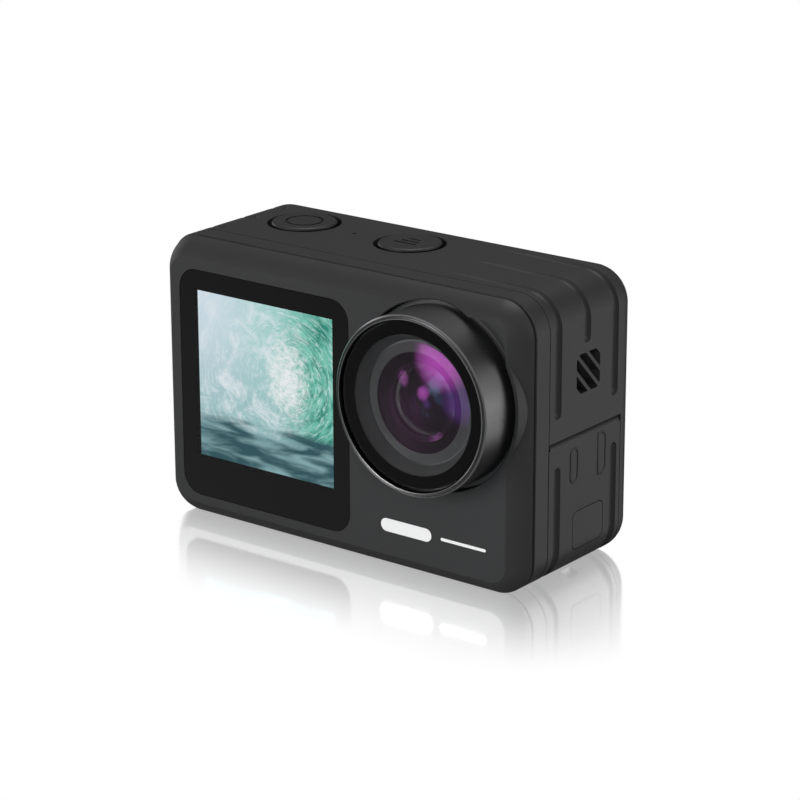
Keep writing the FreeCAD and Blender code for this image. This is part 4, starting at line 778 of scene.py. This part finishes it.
# Painted shade on the walls: they, and the floor of the cut-in mark, take a near-black colour.
shaded_wall_or_mark = math_node(
    cap_tree, "MAXIMUM", math_node(cap_tree, "LESS_THAN", cap_sides.outputs["Z"], WALL_LEAN),
    math_node(cap_tree, "MULTIPLY",
              math_node(cap_tree, "LESS_THAN", place_parts(cap_tree)["Z"], cap_top - MARK_CUT),
              math_node(cap_tree, "GREATER_THAN", cap_sides.outputs["Z"], LEVEL_LEAN)))
cap_tree.links.new(mix_colour(cap_tree, shaded_wall_or_mark, cap_colour, (0.003, 0.003, 0.003)),
                   cap_shader.inputs["Base Color"])
dress(cap_paint, "shutter_button", "mode_button")

# ---------------------------------------------------------------- circuit boards and chips
# The boards are glass fibre under a green solder mask, screwed to the inside of the housing.
# The chips, the microphone and the memory card are moulded in dull black epoxy.
dress(grained("solder_mask", (0.008, 0.07, 0.03), (0.014, 0.11, 0.05), 0.35, per_metre=900.0,
              patches=300.0), "main_board", "sensor_board", "key_board")
dress(grained("epoxy_black", (0.012, 0.012, 0.012), (0.02, 0.02, 0.02), 0.55),
      "image_processor", "memory_chip", "microphone", "image_sensor", "memory_card")

# ---------------------------------------------------------------- metal parts inside
# Pressed steel cans, sockets, screws and pins are bright; the heat spreader is a dull cast
# alloy, and the tripod nut under the body is turned brass.
dress(grained("bright_steel", (0.50, 0.51, 0.53), (0.62, 0.63, 0.65), 0.3, metallic=1.0),
      "shield_can", "board_screws", "sensor_screws", "tact_switches", "usb_socket", "video_socket",
      "card_socket", "battery_door_hinge_pin", "port_door_hinge_pin", "battery_contacts")
dress(grained("turned_brass", (0.62, 0.42, 0.16), (0.74, 0.52, 0.22), 0.3, metallic=1.0),
      "tripod_nut")
dress(grained("cast_alloy", (0.45, 0.45, 0.46), (0.6, 0.6, 0.61), 0.45, metallic=1.0),
      "heat_spreader")

# ---------------------------------------------------------------- speaker and battery
# The speaker sits behind a dark steel mesh punched with a square grid of round holes. The
# battery is wrapped in black film in a plain bay; the display flexes are amber.
HOLES_PER_METRE = 2600.0
# As a share of the grid's step.
HOLE_RADIUS = 0.33
dress(grained("dark_mesh", (0.01, 0.01, 0.01), (0.03, 0.03, 0.03), 0.6), "speaker", "battery_bay")
mesh_steel, mesh_tree, mesh_shader = blank_material("punched_mesh")
mesh_place = mesh_tree.nodes.new("ShaderNodeTexCoord")
mesh_holes = mesh_tree.nodes.new("ShaderNodeTexVoronoi")
mesh_holes.inputs["Scale"].default_value = HOLES_PER_METRE
mesh_holes.inputs["Randomness"].default_value = 0.0
mesh_tree.links.new(mesh_place.outputs["Object"], mesh_holes.inputs["Vector"])
punched = math_node(mesh_tree, "LESS_THAN", mesh_holes.outputs["Distance"], HOLE_RADIUS)
mesh_tree.links.new(mix_colour(mesh_tree, punched, (0.10, 0.10, 0.10), (0.004, 0.004, 0.004)),
                    mesh_shader.inputs["Base Color"])
mesh_shader.inputs["Roughness"].default_value = 0.45
dress(mesh_steel, "speaker_mesh")
dress(grained("flex_amber", (0.30, 0.14, 0.02), (0.42, 0.20, 0.03), 0.35), "front_display_flex",
      "rear_display_flex")
dress(grained("cell_wrap", (0.02, 0.02, 0.022), (0.035, 0.035, 0.04), 0.4), "battery")
